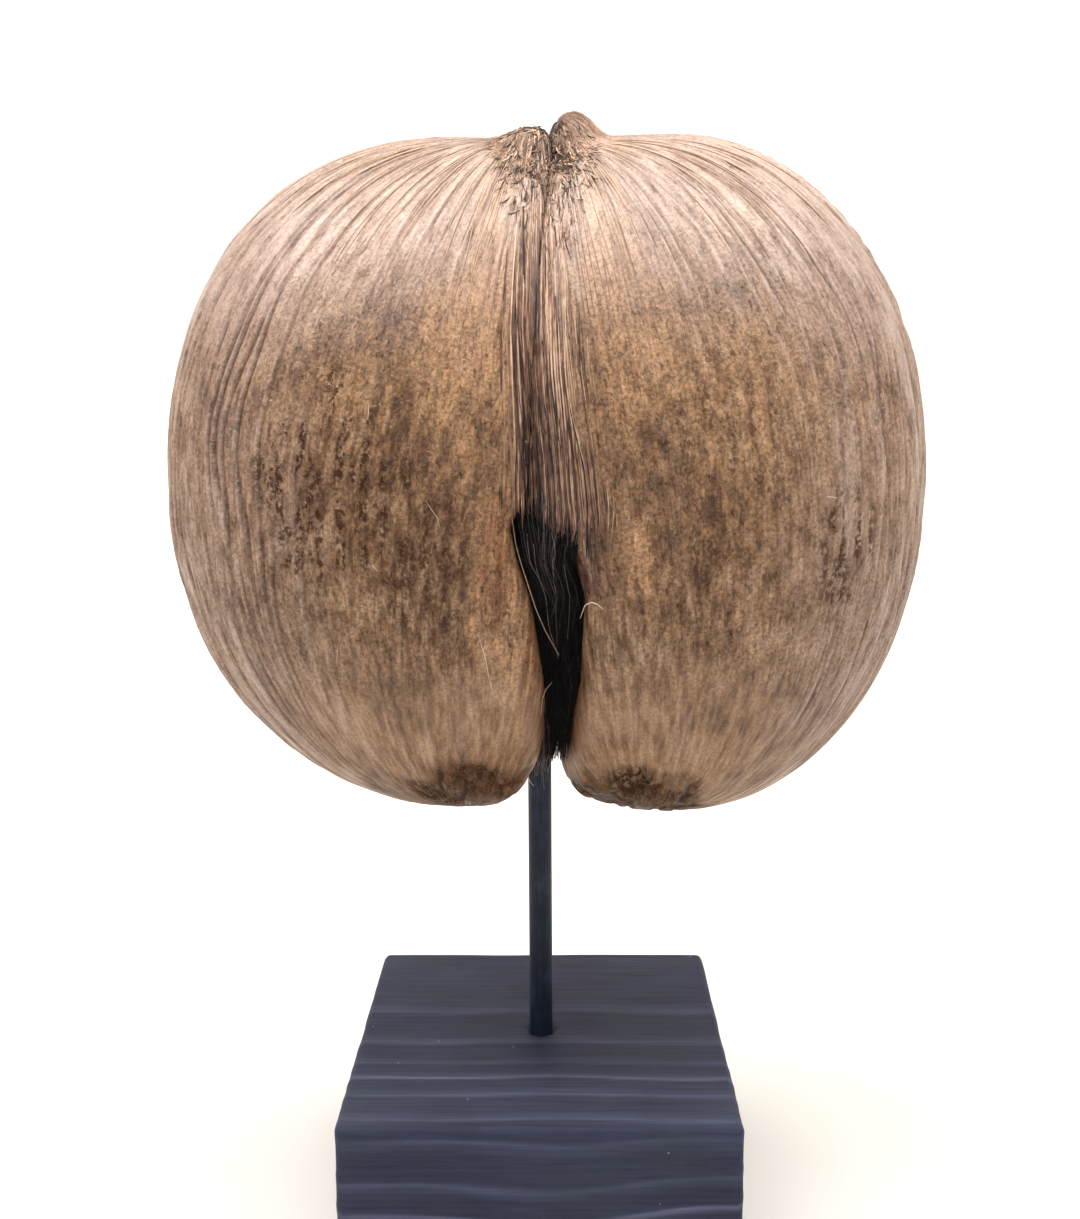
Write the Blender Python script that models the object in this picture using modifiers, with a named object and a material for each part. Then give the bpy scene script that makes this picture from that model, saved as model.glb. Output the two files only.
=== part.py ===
"""Coco de mer seed held up on a round bar in a square wooden block.

The seed is one grown piece: two lobes that are fused above and parted below by a
cleft, with fibre ridges, a band of cords down the front and back, and a rough crown.
A tuft of dark fibre fills the cleft's mouth. The bar passes up the cleft into a
drilled hole in the seed, and down into a drilled hole in the block.

Metres, +Z up. The origin is the middle of the block's underside. The seed's front
faces -Y. Heights named "above the block" are measured from the block's top.
"""

import math

import bmesh
import bpy
import numpy as np
from mathutils import Matrix

# Driving dimensions
BLOCK_SIDE = 0.150
BLOCK_HEIGHT = 0.070
BLOCK_EDGE_RADIUS = 0.0025
ROD_DIAMETER = 0.0095
ROD_SIDES = 24
ROD_DEPTH_IN_BLOCK = 0.045
ROD_TOP_ABOVE_BLOCK = 0.245
SEED_HOLE_START = 0.150
HOLE_MOUTH = 0.010
FIT_GAP = 0.0003

# The seed's two lobes, each a superellipse in front view about its own centre.
# Centres and tips are (x, y, height above the block).
LEFT_LOBE = {
    "side": -1,
    "centre": (-0.0315, 0.0, 0.2255),
    "outer": 0.1085,
    "top": 0.130,
    "bottom": 0.123,
    "powers": {"top_outer": 2.2, "bottom_outer": 2.0, "top_inner": 2.6, "bottom_inner": 2.3},
    "crown": (-0.004, -0.018, 0.352),
    "tip": (-0.029, -0.020, 0.108),
    "mound": {"centre": (-0.004, -0.018, 0.3525), "radius": (0.014, 0.015, 0.0085)},
}
RIGHT_LOBE = {
    "side": 1,
    "centre": (0.0485, 0.0, 0.2285),
    "outer": 0.097,
    "top": 0.1275,
    "bottom": 0.128,
    "powers": {"top_outer": 2.05, "bottom_outer": 2.1, "top_inner": 2.6, "bottom_inner": 2.2},
    "crown": (0.010, -0.018, 0.354),
    "tip": (0.040, -0.020, 0.106),
    "mound": {"centre": (0.0135, -0.014, 0.3535), "radius": (0.015, 0.015, 0.0120)},
}
INNER_REACH = 0.092
FRONT_DEPTH = 0.090
BACK_DEPTH = 0.096
SECTION_POWER = 2.25
LOBE_EYE_OFFSET = 0.042
LOBE_EYE_HEIGHT = 0.228
FIELD_SCALE = 0.100
MOUND_BLEND = 0.008

# The cleft: half widths and middles along its height, as (height above block, size).
# A negative half width is where the lobes are fused.
MOUTH_HALF = (
    (0.136, 0.0040),
    (0.158, 0.0054),
    (0.196, 0.0090),
    (0.208, 0.0089),
    (0.2205, 0.0042),
    (0.228, -0.0025),
)
MOUTH_MIDDLE = (
    (0.110, 0.0050),
    (0.146, 0.0074),
    (0.166, 0.0090),
    (0.196, 0.0074),
    (0.208, 0.0036),
    (0.2205, -0.0038),
    (0.228, -0.0055),
    (0.260, -0.0040),
    (0.300, -0.0010),
    (0.335, 0.0035),
)
SLIT_HALF = ((0.100, 0.0072), (0.165, 0.0068), (0.182, 0.0058), (0.192, -0.0025))
SLIT_MIDDLE = ((0.170, 0.0008), (0.200, 0.0020), (0.240, 0.0035))
BACK_HALF = ((0.130, 0.0040), (0.160, 0.0050), (0.188, 0.0040), (0.200, -0.0025))
BACK_MIDDLE = 0.003
MOUTH_REACH = (-0.018, -0.062)
BACK_REACH = (0.022, 0.070)
VALLEY_BLEND_FRONT = 0.009
VALLEY_BLEND_BACK = 0.034
VALLEY_BLEND_LOW = 0.004
VALLEY_BLEND_CROWN = 0.4

# Fibre ridges on the lobes
RIDGE_COLUMNS = 84
RIDGE_ROWS = 22
RIDGE_HEIGHT = 0.0006
COLUMN_CROWDING = 0.45
SEED_OF_CHANCE = 11

# The bands of cords that cover the valley between the lobes
FRONT_BAND = {
    "count": 8,
    "left": ((0.200, -0.0050), (0.335, -0.0060)),
    "right": ((0.205, 0.0190), (0.261, 0.0135), (0.299, 0.0090), (0.335, 0.0080)),
    "top": 0.340,
    "bottom": 0.208,
    "fused_above": 0.2290,
    "face": -1,
}
BACK_BAND = {
    "count": 5,
    "left": ((0.190, -0.0060), (0.335, -0.0045)),
    "right": ((0.190, 0.0110), (0.335, 0.0080)),
    "top": 0.338,
    "bottom": 0.196,
    "fused_above": 0.2015,
    "face": 1,
}
CORD_RADIUS = 0.0019
CORD_POINTS = 9
CORD_TUCK = 0.3

# Short bristles of the crown, in a patch seen from above
CROWN_PATCH = {"centre": (0.000, -0.029), "radius": (0.012, 0.017)}
BRISTLE_COUNT = 40
BRISTLE_LENGTH = (0.0025, 0.0045)
BRISTLE_RADIUS = 0.0019
BRISTLE_ROOT = 0.006

# The tuft of dark fibre in the cleft's mouth
TUFT_STRANDS = 18
TUFT_POINTS = 7
TUFT_TOP = (0.2045, 0.1960)
TUFT_BOTTOM = 0.132
TUFT_FACE = ((0.132, -0.052), (0.165, -0.067), (0.200, -0.0755), (0.217, -0.0770))
TUFT_LAYER = 0.0035
TUFT_CORE_INSET = 0.0085
STRAND_RADIUS = 0.0013
TUFT_WALL_GAP = 0.0023

SEED_BROWN = (0.25, 0.165, 0.11)
TUFT_BLACK = (0.012, 0.011, 0.012)
ROD_BLACK = (0.012, 0.014, 0.020)
BLOCK_BLACK = (0.030, 0.031, 0.042)


def clear_scene():
    for obj in list(bpy.data.objects):
        bpy.data.objects.remove(obj)


def new_collection(name):
    collection = bpy.data.collections.new(name)
    bpy.context.scene.collection.children.link(collection)
    return collection


def material(name, colour, roughness, metallic=0.0):
    """A Principled material of one linear colour."""
    made = bpy.data.materials.new(name)
    made.use_nodes = True
    shader = made.node_tree.nodes["Principled BSDF"]
    shader.inputs["Base Color"].default_value = (*colour, 1.0)
    shader.inputs["Roughness"].default_value = roughness
    shader.inputs["Metallic"].default_value = metallic
    made.diffuse_color = (*colour, 1.0)
    return made


def object_from_bmesh(name, bm, collection, location=(0.0, 0.0, 0.0)):
    mesh = bpy.data.meshes.new(name)
    bm.to_mesh(mesh)
    bm.free()
    obj = bpy.data.objects.new(name, mesh)
    obj.location = location
    collection.objects.link(obj)
    return obj


def apply_boolean(obj, operation, other):
    """Joins or cuts obj by an object or a collection, and applies the result."""
    modifier = obj.modifiers.new("join", "BOOLEAN")
    modifier.operation = operation
    modifier.solver = "EXACT"
    if isinstance(other, bpy.types.Collection):
        modifier.operand_type = "COLLECTION"
        modifier.collection = other
    else:
        modifier.object = other
    bpy.context.view_layer.update()
    graph = bpy.context.evaluated_depsgraph_get()
    joined = bpy.data.meshes.new_from_object(obj.evaluated_get(graph))
    obj.modifiers.clear()
    obj.data = joined


def keep_largest_shell(obj):
    """Drops slivers of air that a union sealed in, and crumbs that it left loose."""
    bm = bmesh.new()
    bm.from_mesh(obj.data)
    shells = []
    waiting = set(bm.faces)
    while waiting:
        reached = [waiting.pop()]
        shell = []
        while reached:
            face = reached.pop()
            shell.append(face)
            neighbours = {near for edge in face.edges for near in edge.link_faces} & waiting
            waiting -= neighbours
            reached.extend(neighbours)
        shells.append(shell)
    shells.sort(key=len)
    for shell in shells[:-1]:
        bmesh.ops.delete(bm, geom=shell, context="FACES")
    bm.to_mesh(obj.data)
    bm.free()


def remove_objects(objects):
    for obj in list(objects):
        bpy.data.objects.remove(obj)


def smooth_step(start, end, value):
    t = np.clip((value - start) / (end - start), 0.0, 1.0)
    return t * t * (3.0 - 2.0 * t)


def mix(a, b, share):
    return a + (b - a) * share


def along(points, height):
    """A size that changes with height, read between (height, size) pairs."""
    heights, sizes = zip(*points)
    return np.interp(height, heights, sizes)


def smooth_max(a, b, width):
    near = np.maximum(width - np.abs(a - b), 0.0) / width
    return np.maximum(a, b) + near * near * width / 4.0


def cleft_walls(y, z):
    """x of the cleft's left and right walls."""
    front = smooth_step(MOUTH_REACH[0], MOUTH_REACH[1], y)
    back = smooth_step(BACK_REACH[0], BACK_REACH[1], y)
    half = mix(mix(along(SLIT_HALF, z), along(MOUTH_HALF, z), front), along(BACK_HALF, z), back)
    middle = mix(mix(along(SLIT_MIDDLE, z), along(MOUTH_MIDDLE, z), front), BACK_MIDDLE, back)
    return middle - half, middle + half


def lobe_body(lobe, x, y, z):
    """1 on a lobe's outer surface: a superellipse in front view, and again in depth."""
    centre_x, centre_y, centre_z = lobe["centre"]
    outward = lobe["side"] * (x - centre_x)
    upward = z - centre_z
    depth = y - centre_y
    reach = np.where(outward > 0, lobe["outer"], INNER_REACH)
    height = np.where(upward > 0, lobe["top"], lobe["bottom"])
    powers = lobe["powers"]
    outer_power = np.where(upward > 0, powers["top_outer"], powers["bottom_outer"])
    inner_power = np.where(upward > 0, powers["top_inner"], powers["bottom_inner"])
    power = np.where(outward > 0, outer_power, inner_power)
    outline = (np.abs(outward / reach) ** power + np.abs(upward / height) ** power) ** (1.0 / power)
    half_depth = np.where(depth < 0, FRONT_DEPTH, BACK_DEPTH)
    return (outline**SECTION_POWER + np.abs(depth / half_depth) ** SECTION_POWER) ** (1.0 / SECTION_POWER)


def lobe_field(lobe, points):
    """Below 0 inside a lobe: its body with the crown's mound, cut by the cleft's wall."""
    x, y, z = points[..., 0], points[..., 1], points[..., 2]
    body = FIELD_SCALE * (lobe_body(lobe, x, y, z) - 1.0)
    mound = lobe["mound"]
    offset = (points - np.array(mound["centre"])) / np.array(mound["radius"])
    rise = min(mound["radius"]) * (np.linalg.norm(offset, axis=-1) - 1.0)
    body = -smooth_max(-body, -rise, MOUND_BLEND)
    left_wall, right_wall = cleft_walls(y, z)
    cut = right_wall - x if lobe["side"] > 0 else x - left_wall
    blend = mix(VALLEY_BLEND_FRONT, VALLEY_BLEND_BACK, smooth_step(-0.030, 0.045, y))
    blend = blend + VALLEY_BLEND_LOW * smooth_step(0.150, 0.105, z)
    blend = blend * mix(1.0, VALLEY_BLEND_CROWN, smooth_step(0.325, 0.348, z))
    return smooth_max(body, cut, blend)


def lobe_eye(lobe):
    """The point inside a lobe that its whole surface can be seen from."""
    return np.array((lobe["side"] * LOBE_EYE_OFFSET + 0.002, 0.0, LOBE_EYE_HEIGHT))


def fibre_directions(lobe, turn, share):
    """Directions from the lobe's eye along circles that run from the crown to the tip.

    turn is the angle of the circle's plane about the line from crown to tip, and
    share goes from 0 at the crown to 1 at the tip.
    """
    eye = lobe_eye(lobe)
    to_crown = np.array(lobe["crown"]) - eye
    to_crown /= np.linalg.norm(to_crown)
    to_tip = np.array(lobe["tip"]) - eye
    to_tip /= np.linalg.norm(to_tip)
    middle = (to_crown + to_tip) / 2.0
    half_chord = (to_tip - to_crown) / 2.0
    chord_length = np.linalg.norm(half_chord)
    chord_axis = half_chord / chord_length
    middle_length = np.linalg.norm(middle)
    first = middle / middle_length
    second = np.cross(chord_axis, first)
    sideways = np.cos(turn)[..., None] * first + np.sin(turn)[..., None] * second
    radius = np.sqrt(1.0 - (middle_length * np.sin(turn)) ** 2)
    centre = middle - (middle_length * np.cos(turn))[..., None] * sideways
    end_angle = np.arctan2(middle_length * np.cos(turn), chord_length)
    angle = mix(math.pi - end_angle, end_angle, share)
    arc = np.cos(angle)[..., None] * chord_axis + np.sin(angle)[..., None] * sideways
    return centre + radius[..., None] * arc


def cast(start, directions, field, reach):
    """Distance along each direction at which field turns positive, by halving."""
    near = np.zeros(directions.shape[:-1])
    far = np.full(directions.shape[:-1], reach)
    for _ in range(32):
        middle = (near + far) / 2.0
        inside = field(start + directions * middle[..., None]) < 0
        near = np.where(inside, middle, near)
        far = np.where(inside, far, middle)
    return near


def lobe_object(name, lobe, collection, chance):
    """A sphere whose vertices are moved to the lobe's surface, with ridges on its columns."""
    bm = bmesh.new()
    bmesh.ops.create_uvsphere(bm, u_segments=RIDGE_COLUMNS, v_segments=RIDGE_ROWS, radius=1.0)
    unit = np.array([vertex.co for vertex in bm.verts])
    turns = np.arctan2(unit[:, 1], unit[:, 0]) / (2 * math.pi)
    column = np.round(turns * RIDGE_COLUMNS).astype(int) % RIDGE_COLUMNS
    share = np.arccos(np.clip(unit[:, 2], -1.0, 1.0)) / math.pi
    even = (column + chance.uniform(-0.28, 0.28, RIDGE_COLUMNS)[column]) / RIDGE_COLUMNS * 2 * math.pi
    turn = even + COLUMN_CROWDING * np.sin(even)
    directions = fibre_directions(lobe, turn, share)
    distance = cast(lobe_eye(lobe), directions, lambda p: lobe_field(lobe, p), 0.260)
    points = lobe_eye(lobe) + directions * distance[:, None]
    height = chance.uniform(0.35, 1.0, RIDGE_COLUMNS)[column] * np.where(column % 2 == 0, 1.0, -1.0)
    wander = 0.75 + 0.35 * np.sin(share * 17.0 + column * 2.4)
    fade = smooth_step(0.04, 0.12, share) * smooth_step(0.985, 0.90, share)
    left_wall, right_wall = cleft_walls(points[:, 1], points[:, 2])
    clear_of_wall = np.abs(points[:, 0] - (left_wall + right_wall) / 2.0)
    fade = fade * smooth_step(0.010, 0.026, clear_of_wall)
    points = points + directions * (RIDGE_HEIGHT * height * wander * fade)[:, None]
    for vertex, point in zip(bm.verts, points):
        vertex.co = point
    # The moved sphere may be inside out, so its faces are turned to point outward.
    bmesh.ops.recalc_face_normals(bm, faces=bm.faces)
    return object_from_bmesh(name, bm, collection, (0.0, 0.0, BLOCK_HEIGHT))


def fused_field(points):
    """Below 0 inside either lobe."""
    return np.minimum(lobe_field(LEFT_LOBE, points), lobe_field(RIGHT_LOBE, points))


def seed_depth(face, x, z):
    """y of the fused seed's surface on its front (face -1) or back (face 1)."""
    start = np.stack((x, np.zeros_like(x), z), axis=-1)
    directions = np.zeros_like(start)
    directions[..., 1] = face
    return face * cast(start, directions, fused_field, 0.130)


def tube(name, path, radii, collection, bevel_resolution=1):
    """A tapering tube along path, made a closed mesh so that a Boolean can take it."""
    curve = bpy.data.curves.new(name, "CURVE")
    curve.dimensions = "3D"
    curve.bevel_depth = 1.0
    curve.bevel_resolution = bevel_resolution
    curve.use_fill_caps = True
    spline = curve.splines.new("POLY")
    spline.points.add(len(path) - 1)
    for point, place, radius in zip(spline.points, path, radii):
        point.co = (*place, 1.0)
        point.radius = radius
    drawn = bpy.data.objects.new(name, curve)
    drawn.location = (0.0, 0.0, BLOCK_HEIGHT)
    collection.objects.link(drawn)
    bpy.context.view_layer.update()
    graph = bpy.context.evaluated_depsgraph_get()
    mesh = bpy.data.meshes.new_from_object(drawn.evaluated_get(graph))
    bm = bmesh.new()
    bm.from_mesh(mesh)
    bmesh.ops.remove_doubles(bm, verts=bm.verts, dist=0.00001)
    bm.to_mesh(mesh)
    bm.free()
    made = bpy.data.objects.new(name + "_mesh", mesh)
    made.matrix_world = drawn.matrix_world
    collection.objects.link(made)
    bpy.data.objects.remove(drawn)
    return made


def band_cords(band, collection, chance):
    """Cords side by side down the valley between the lobes, half sunk in it."""
    for number in range(band["count"]):
        across = (number + 0.5) / band["count"]
        top = band["top"] - 0.006 * chance.uniform(0.0, 1.0)
        bottom = band["bottom"] - 0.008 * chance.uniform(0.0, 1.0)
        z = np.linspace(top, bottom, CORD_POINTS)
        x = mix(along(band["left"], z), along(band["right"], z), across)
        x = x + 0.0005 * np.sin(z * 90.0 + number * 1.9)
        spread = (along(band["right"], z) - along(band["left"], z)) / band["count"]
        y = seed_depth(band["face"], x, np.maximum(z, band["fused_above"]))
        y = y - band["face"] * CORD_TUCK * np.maximum(band["fused_above"] - z, 0.0)
        radii = np.clip(spread * 0.62, 0.0009, CORD_RADIUS)
        radii = radii * (0.85 + 0.15 * np.cos(number * 2.7 + z * 60.0))
        radii[0] *= 0.5
        radii[-1] *= 0.45
        path = np.stack((x, y, z), axis=-1)
        tube(f"cord_{number}", path, radii, collection)


def crown_bristles(collection, chance):
    """Short broken fibres that stand up round the crown."""
    upward = np.array((0.0, 0.0, 1.0))
    for number in range(BRISTLE_COUNT):
        turn = number * 2.4
        spread = math.sqrt((number + 0.5) / BRISTLE_COUNT)
        x = CROWN_PATCH["centre"][0] + CROWN_PATCH["radius"][0] * spread * math.cos(turn)
        y = CROWN_PATCH["centre"][1] + CROWN_PATCH["radius"][1] * spread * math.sin(turn)
        start = np.array((x, y, 0.300))
        rise = cast(start, upward, fused_field, 0.100)
        root = start + upward * rise
        lean = np.array((0.8 * math.cos(turn), 0.8 * math.sin(turn) - 0.2, chance.uniform(0.2, 0.6)))
        lean /= np.linalg.norm(lean)
        length = chance.uniform(*BRISTLE_LENGTH)
        path = [root - upward * BRISTLE_ROOT, root + lean * length * 0.5, root + lean * length]
        radii = (BRISTLE_RADIUS, BRISTLE_RADIUS * 0.8, BRISTLE_RADIUS * 0.3)
        tube(f"bristle_{number}", path, radii, collection, 0)


def move_to(collection, obj, name):
    """Names an object that an operator has just added, and puts it in collection."""
    obj.name = name
    for owner in list(obj.users_collection):
        owner.objects.unlink(obj)
    collection.objects.link(obj)
    return obj


def upright_bar(name, radius, low, high, collection):
    """A round bar on the Z axis from height low to height high."""
    middle = (0.0, 0.0, (low + high) / 2)
    bpy.ops.mesh.primitive_cylinder_add(vertices=ROD_SIDES, radius=radius, depth=high - low, location=middle)
    return move_to(collection, bpy.context.object, name)


def rod_hole(name, low, high, collection):
    """A cutter for a drilled hole that the bar fits with a small gap."""
    cutter = upright_bar(name, ROD_DIAMETER / 2 + FIT_GAP, low, high, collection)
    cutter.hide_render = True
    cutter.display_type = "WIRE"
    return cutter


def make_seed(parts, cutters):
    chance = np.random.default_rng(SEED_OF_CHANCE)
    seed = lobe_object("seed", LEFT_LOBE, parts, chance)
    right = lobe_object("right_lobe", RIGHT_LOBE, parts, chance)
    apply_boolean(seed, "UNION", right)
    remove_objects([right])
    relief = new_collection("seed_relief")
    band_cords(FRONT_BAND, relief, chance)
    band_cords(BACK_BAND, relief, chance)
    crown_bristles(relief, chance)
    apply_boolean(seed, "UNION", relief)
    keep_largest_shell(seed)
    remove_objects(relief.objects)
    bpy.data.collections.remove(relief)
    hole_top = BLOCK_HEIGHT + ROD_TOP_ABOVE_BLOCK + FIT_GAP
    hole = rod_hole("seed_hole", BLOCK_HEIGHT + SEED_HOLE_START, hole_top, cutters)
    apply_boolean(seed, "DIFFERENCE", hole)
    seed.data.materials.clear()
    seed.data.materials.append(material("seed_husk", SEED_BROWN, 0.65))
    return seed


def make_tuft(parts):
    """Strands that hang side by side in the cleft's mouth, fused to a slim core."""
    chance = np.random.default_rng(SEED_OF_CHANCE + 1)
    strands = new_collection("tuft_strands")
    core_z = np.linspace(TUFT_TOP[1], TUFT_BOTTOM + 0.014, TUFT_POINTS)
    core_y = along(TUFT_FACE, core_z) + TUFT_CORE_INSET
    left_wall, right_wall = cleft_walls(core_y, core_z)
    core_path = np.stack(((left_wall + right_wall) / 2, core_y, core_z), axis=-1)
    core_radii = (right_wall - left_wall) / 2 - TUFT_WALL_GAP
    core_radii[0] *= 0.6
    core_radii[-1] *= 0.7
    core = tube("fibre_tuft_core", core_path, core_radii, parts, 2)
    for number in range(TUFT_STRANDS):
        across = (number + 0.5) / TUFT_STRANDS + 0.012 * chance.uniform(-1, 1)
        layer = 0.5 + 0.5 * math.sin(number * 0.9)
        top = mix(TUFT_TOP[0], TUFT_TOP[1], across) - 0.006 * chance.uniform(0, 1)
        bottom = TUFT_BOTTOM + 0.022 * chance.uniform(0, 1)
        z = np.linspace(top, bottom, TUFT_POINTS)
        y = along(TUFT_FACE, z) + TUFT_LAYER * layer
        left_wall, right_wall = cleft_walls(y, z)
        x = mix(left_wall + TUFT_WALL_GAP, right_wall - TUFT_WALL_GAP, across)
        radii = STRAND_RADIUS * (1.0 - 0.25 * np.linspace(0, 1, TUFT_POINTS))
        radii[0] *= 0.7
        radii[-1] *= 0.35
        tube(f"strand_{number}", np.stack((x, y, z), axis=-1), radii, strands, 0)
    apply_boolean(core, "UNION", strands)
    keep_largest_shell(core)
    remove_objects(strands.objects)
    bpy.data.collections.remove(strands)
    core.name = "fibre_tuft"
    core.data.materials.clear()
    core.data.materials.append(material("tuft_fibre", TUFT_BLACK, 0.7))
    return core


def make_rod(parts):
    low = BLOCK_HEIGHT - ROD_DEPTH_IN_BLOCK
    high = BLOCK_HEIGHT + ROD_TOP_ABOVE_BLOCK
    rod = upright_bar("rod", ROD_DIAMETER / 2, low, high, parts)
    rod.data.shade_smooth()
    rod.data.set_sharp_from_angle(angle=math.radians(40))
    rod.data.materials.append(material("rod_paint", ROD_BLACK, 0.45, 0.3))
    return rod


def make_block(parts, cutters):
    bpy.ops.mesh.primitive_cube_add(size=1.0, location=(0, 0, BLOCK_HEIGHT / 2))
    block = move_to(parts, bpy.context.object, "block")
    block.data.transform(Matrix.Diagonal((BLOCK_SIDE, BLOCK_SIDE, BLOCK_HEIGHT, 1.0)))
    bevel = block.modifiers.new("rounded_edges", "BEVEL")
    bevel.width = BLOCK_EDGE_RADIUS
    bevel.segments = 3
    hole = block.modifiers.new("rod_hole", "BOOLEAN")
    hole.operation = "DIFFERENCE"
    hole_floor = BLOCK_HEIGHT - ROD_DEPTH_IN_BLOCK - FIT_GAP
    hole.object = rod_hole("block_hole", hole_floor, BLOCK_HEIGHT + HOLE_MOUTH, cutters)
    block.data.materials.append(material("block_stain", BLOCK_BLACK, 0.6))
    return block


def main():
    clear_scene()
    parts = new_collection("coco_de_mer_on_stand")
    cutters = new_collection("cutters")
    make_block(parts, cutters)
    make_rod(parts)
    make_seed(parts, cutters)
    make_tuft(parts)


main()
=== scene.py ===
import functools
import math

import bmesh
import bpy
import numpy as np
from mathutils import Matrix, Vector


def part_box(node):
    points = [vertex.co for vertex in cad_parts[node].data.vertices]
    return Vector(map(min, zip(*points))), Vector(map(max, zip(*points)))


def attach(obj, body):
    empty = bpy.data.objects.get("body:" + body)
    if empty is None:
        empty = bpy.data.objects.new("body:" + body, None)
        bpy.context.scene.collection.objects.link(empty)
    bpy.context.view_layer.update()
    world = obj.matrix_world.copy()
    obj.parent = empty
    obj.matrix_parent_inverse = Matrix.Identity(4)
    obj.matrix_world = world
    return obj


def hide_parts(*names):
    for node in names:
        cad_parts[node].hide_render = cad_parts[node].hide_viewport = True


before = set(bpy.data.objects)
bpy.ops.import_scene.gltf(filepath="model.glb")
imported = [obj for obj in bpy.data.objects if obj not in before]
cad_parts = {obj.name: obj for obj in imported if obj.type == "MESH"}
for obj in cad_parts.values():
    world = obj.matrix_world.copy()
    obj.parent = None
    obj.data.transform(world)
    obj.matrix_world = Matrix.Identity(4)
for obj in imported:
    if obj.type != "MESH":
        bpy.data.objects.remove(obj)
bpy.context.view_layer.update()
blockLow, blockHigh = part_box("block")
blockTop = blockHigh.z
millimetre = 0.001
print("frame loaded")


def linearColour(hexText):
    # sRGB hex to linear red, green, blue and alpha
    parts = [int(hexText[i:i + 2], 16) / 255 for i in (0, 2, 4)]
    return tuple(p / 12.92 if p <= 0.04045 else ((p + 0.055) / 1.055) ** 2.4 for p in parts) + (1.0,)


def smoothStep(start, end, value):
    t = np.clip((value - start) / (end - start), 0.0, 1.0)
    return t * t * (3.0 - 2.0 * t)


def mix(a, b, share):
    return a + (b - a) * share


def along(points, height):
    # a size that changes with height, read between (height, size) pairs
    heights, sizes = zip(*points)
    return np.interp(height, heights, sizes)


def smoothMax(a, b, width):
    near = np.maximum(width - np.abs(a - b), 0.0) / width
    return np.maximum(a, b) + near * near * width / 4.0


def latticeValue(ix, iy, iz, seed):
    # a repeatable number from 0 to 1 for each lattice point
    n = (ix * 374761393 + iy * 668265263 + iz * 1440662683 + seed * 974634777) & 0xffffffff
    n = ((n ^ (n >> 13)) * 1274126177) & 0xffffffff
    return ((n ^ (n >> 16)) & 0xffff) / 65535.0


def smoothNoise(x, y, z=0.0, seed=0, wrap=0):
    # lattice numbers mixed smoothly between their eight neighbours, 0 to 1
    # with wrap, the pattern repeats along x after that many cells
    places = np.broadcast_arrays(x, y, z)
    cells = [np.floor(p).astype(np.int64) for p in places]
    parts = [p - c for p, c in zip(places, cells)]
    parts = [p * p * (3.0 - 2.0 * p) for p in parts]
    total = 0.0
    for corner in range(8):
        step = (corner & 1, (corner >> 1) & 1, corner >> 2)
        weight = 1.0
        for s, p in zip(step, parts):
            weight = weight * np.abs(1 - s - p)
        ix = cells[0] + step[0]
        if wrap:
            ix = ix % wrap
        total = total + weight * latticeValue(ix, cells[1] + step[1], cells[2] + step[2], seed)
    return total


def cloudNoise(points, size, seed, layers=3):
    # several sizes of noise in space, each half as wide and half as strong, 0 to 1
    total = 0.0
    for layer in range(layers):
        p = points / (size / 2 ** layer)
        total = total + smoothNoise(p[..., 0], p[..., 1], p[..., 2], seed + layer) / 2 ** layer
    return total / (2.0 - 0.5 ** (layers - 1))


# materials

def addNode(tree, kind, inputs=(), output=0, stops=(), **settings):
    # adds a node and gives back one of its outputs: inputs are values or other outputs, in order or
    # by place or name, stops are a ramp's places and colours, and settings are the node's own
    node = tree.nodes.new("ShaderNode" + kind)
    for name, value in settings.items():
        setattr(node, name, value)
    if stops:
        marks = node.color_ramp.elements
        while len(marks) < len(stops):
            marks.new(0.5)
        for mark, (place, colour) in zip(marks, stops):
            mark.position = place
            mark.color = linearColour(colour) if isinstance(colour, str) else (colour, colour, colour, 1.0)
    for name, value in inputs.items() if isinstance(inputs, dict) else enumerate(inputs):
        if isinstance(value, bpy.types.NodeSocket):
            tree.links.new(value, node.inputs[name])
        else:
            node.inputs[name].default_value = value
    return node.outputs[output]


def newMaterial(name, **constants):
    # an empty Principled material; constants are set on the shader's own sockets
    material = bpy.data.materials.new(name)
    material.use_nodes = True
    tree = material.node_tree
    shader = tree.nodes["Principled BSDF"]
    for socket, value in constants.items():
        shader.inputs[socket.replace("_", " ")].default_value = value
    return material, tree, shader


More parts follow.
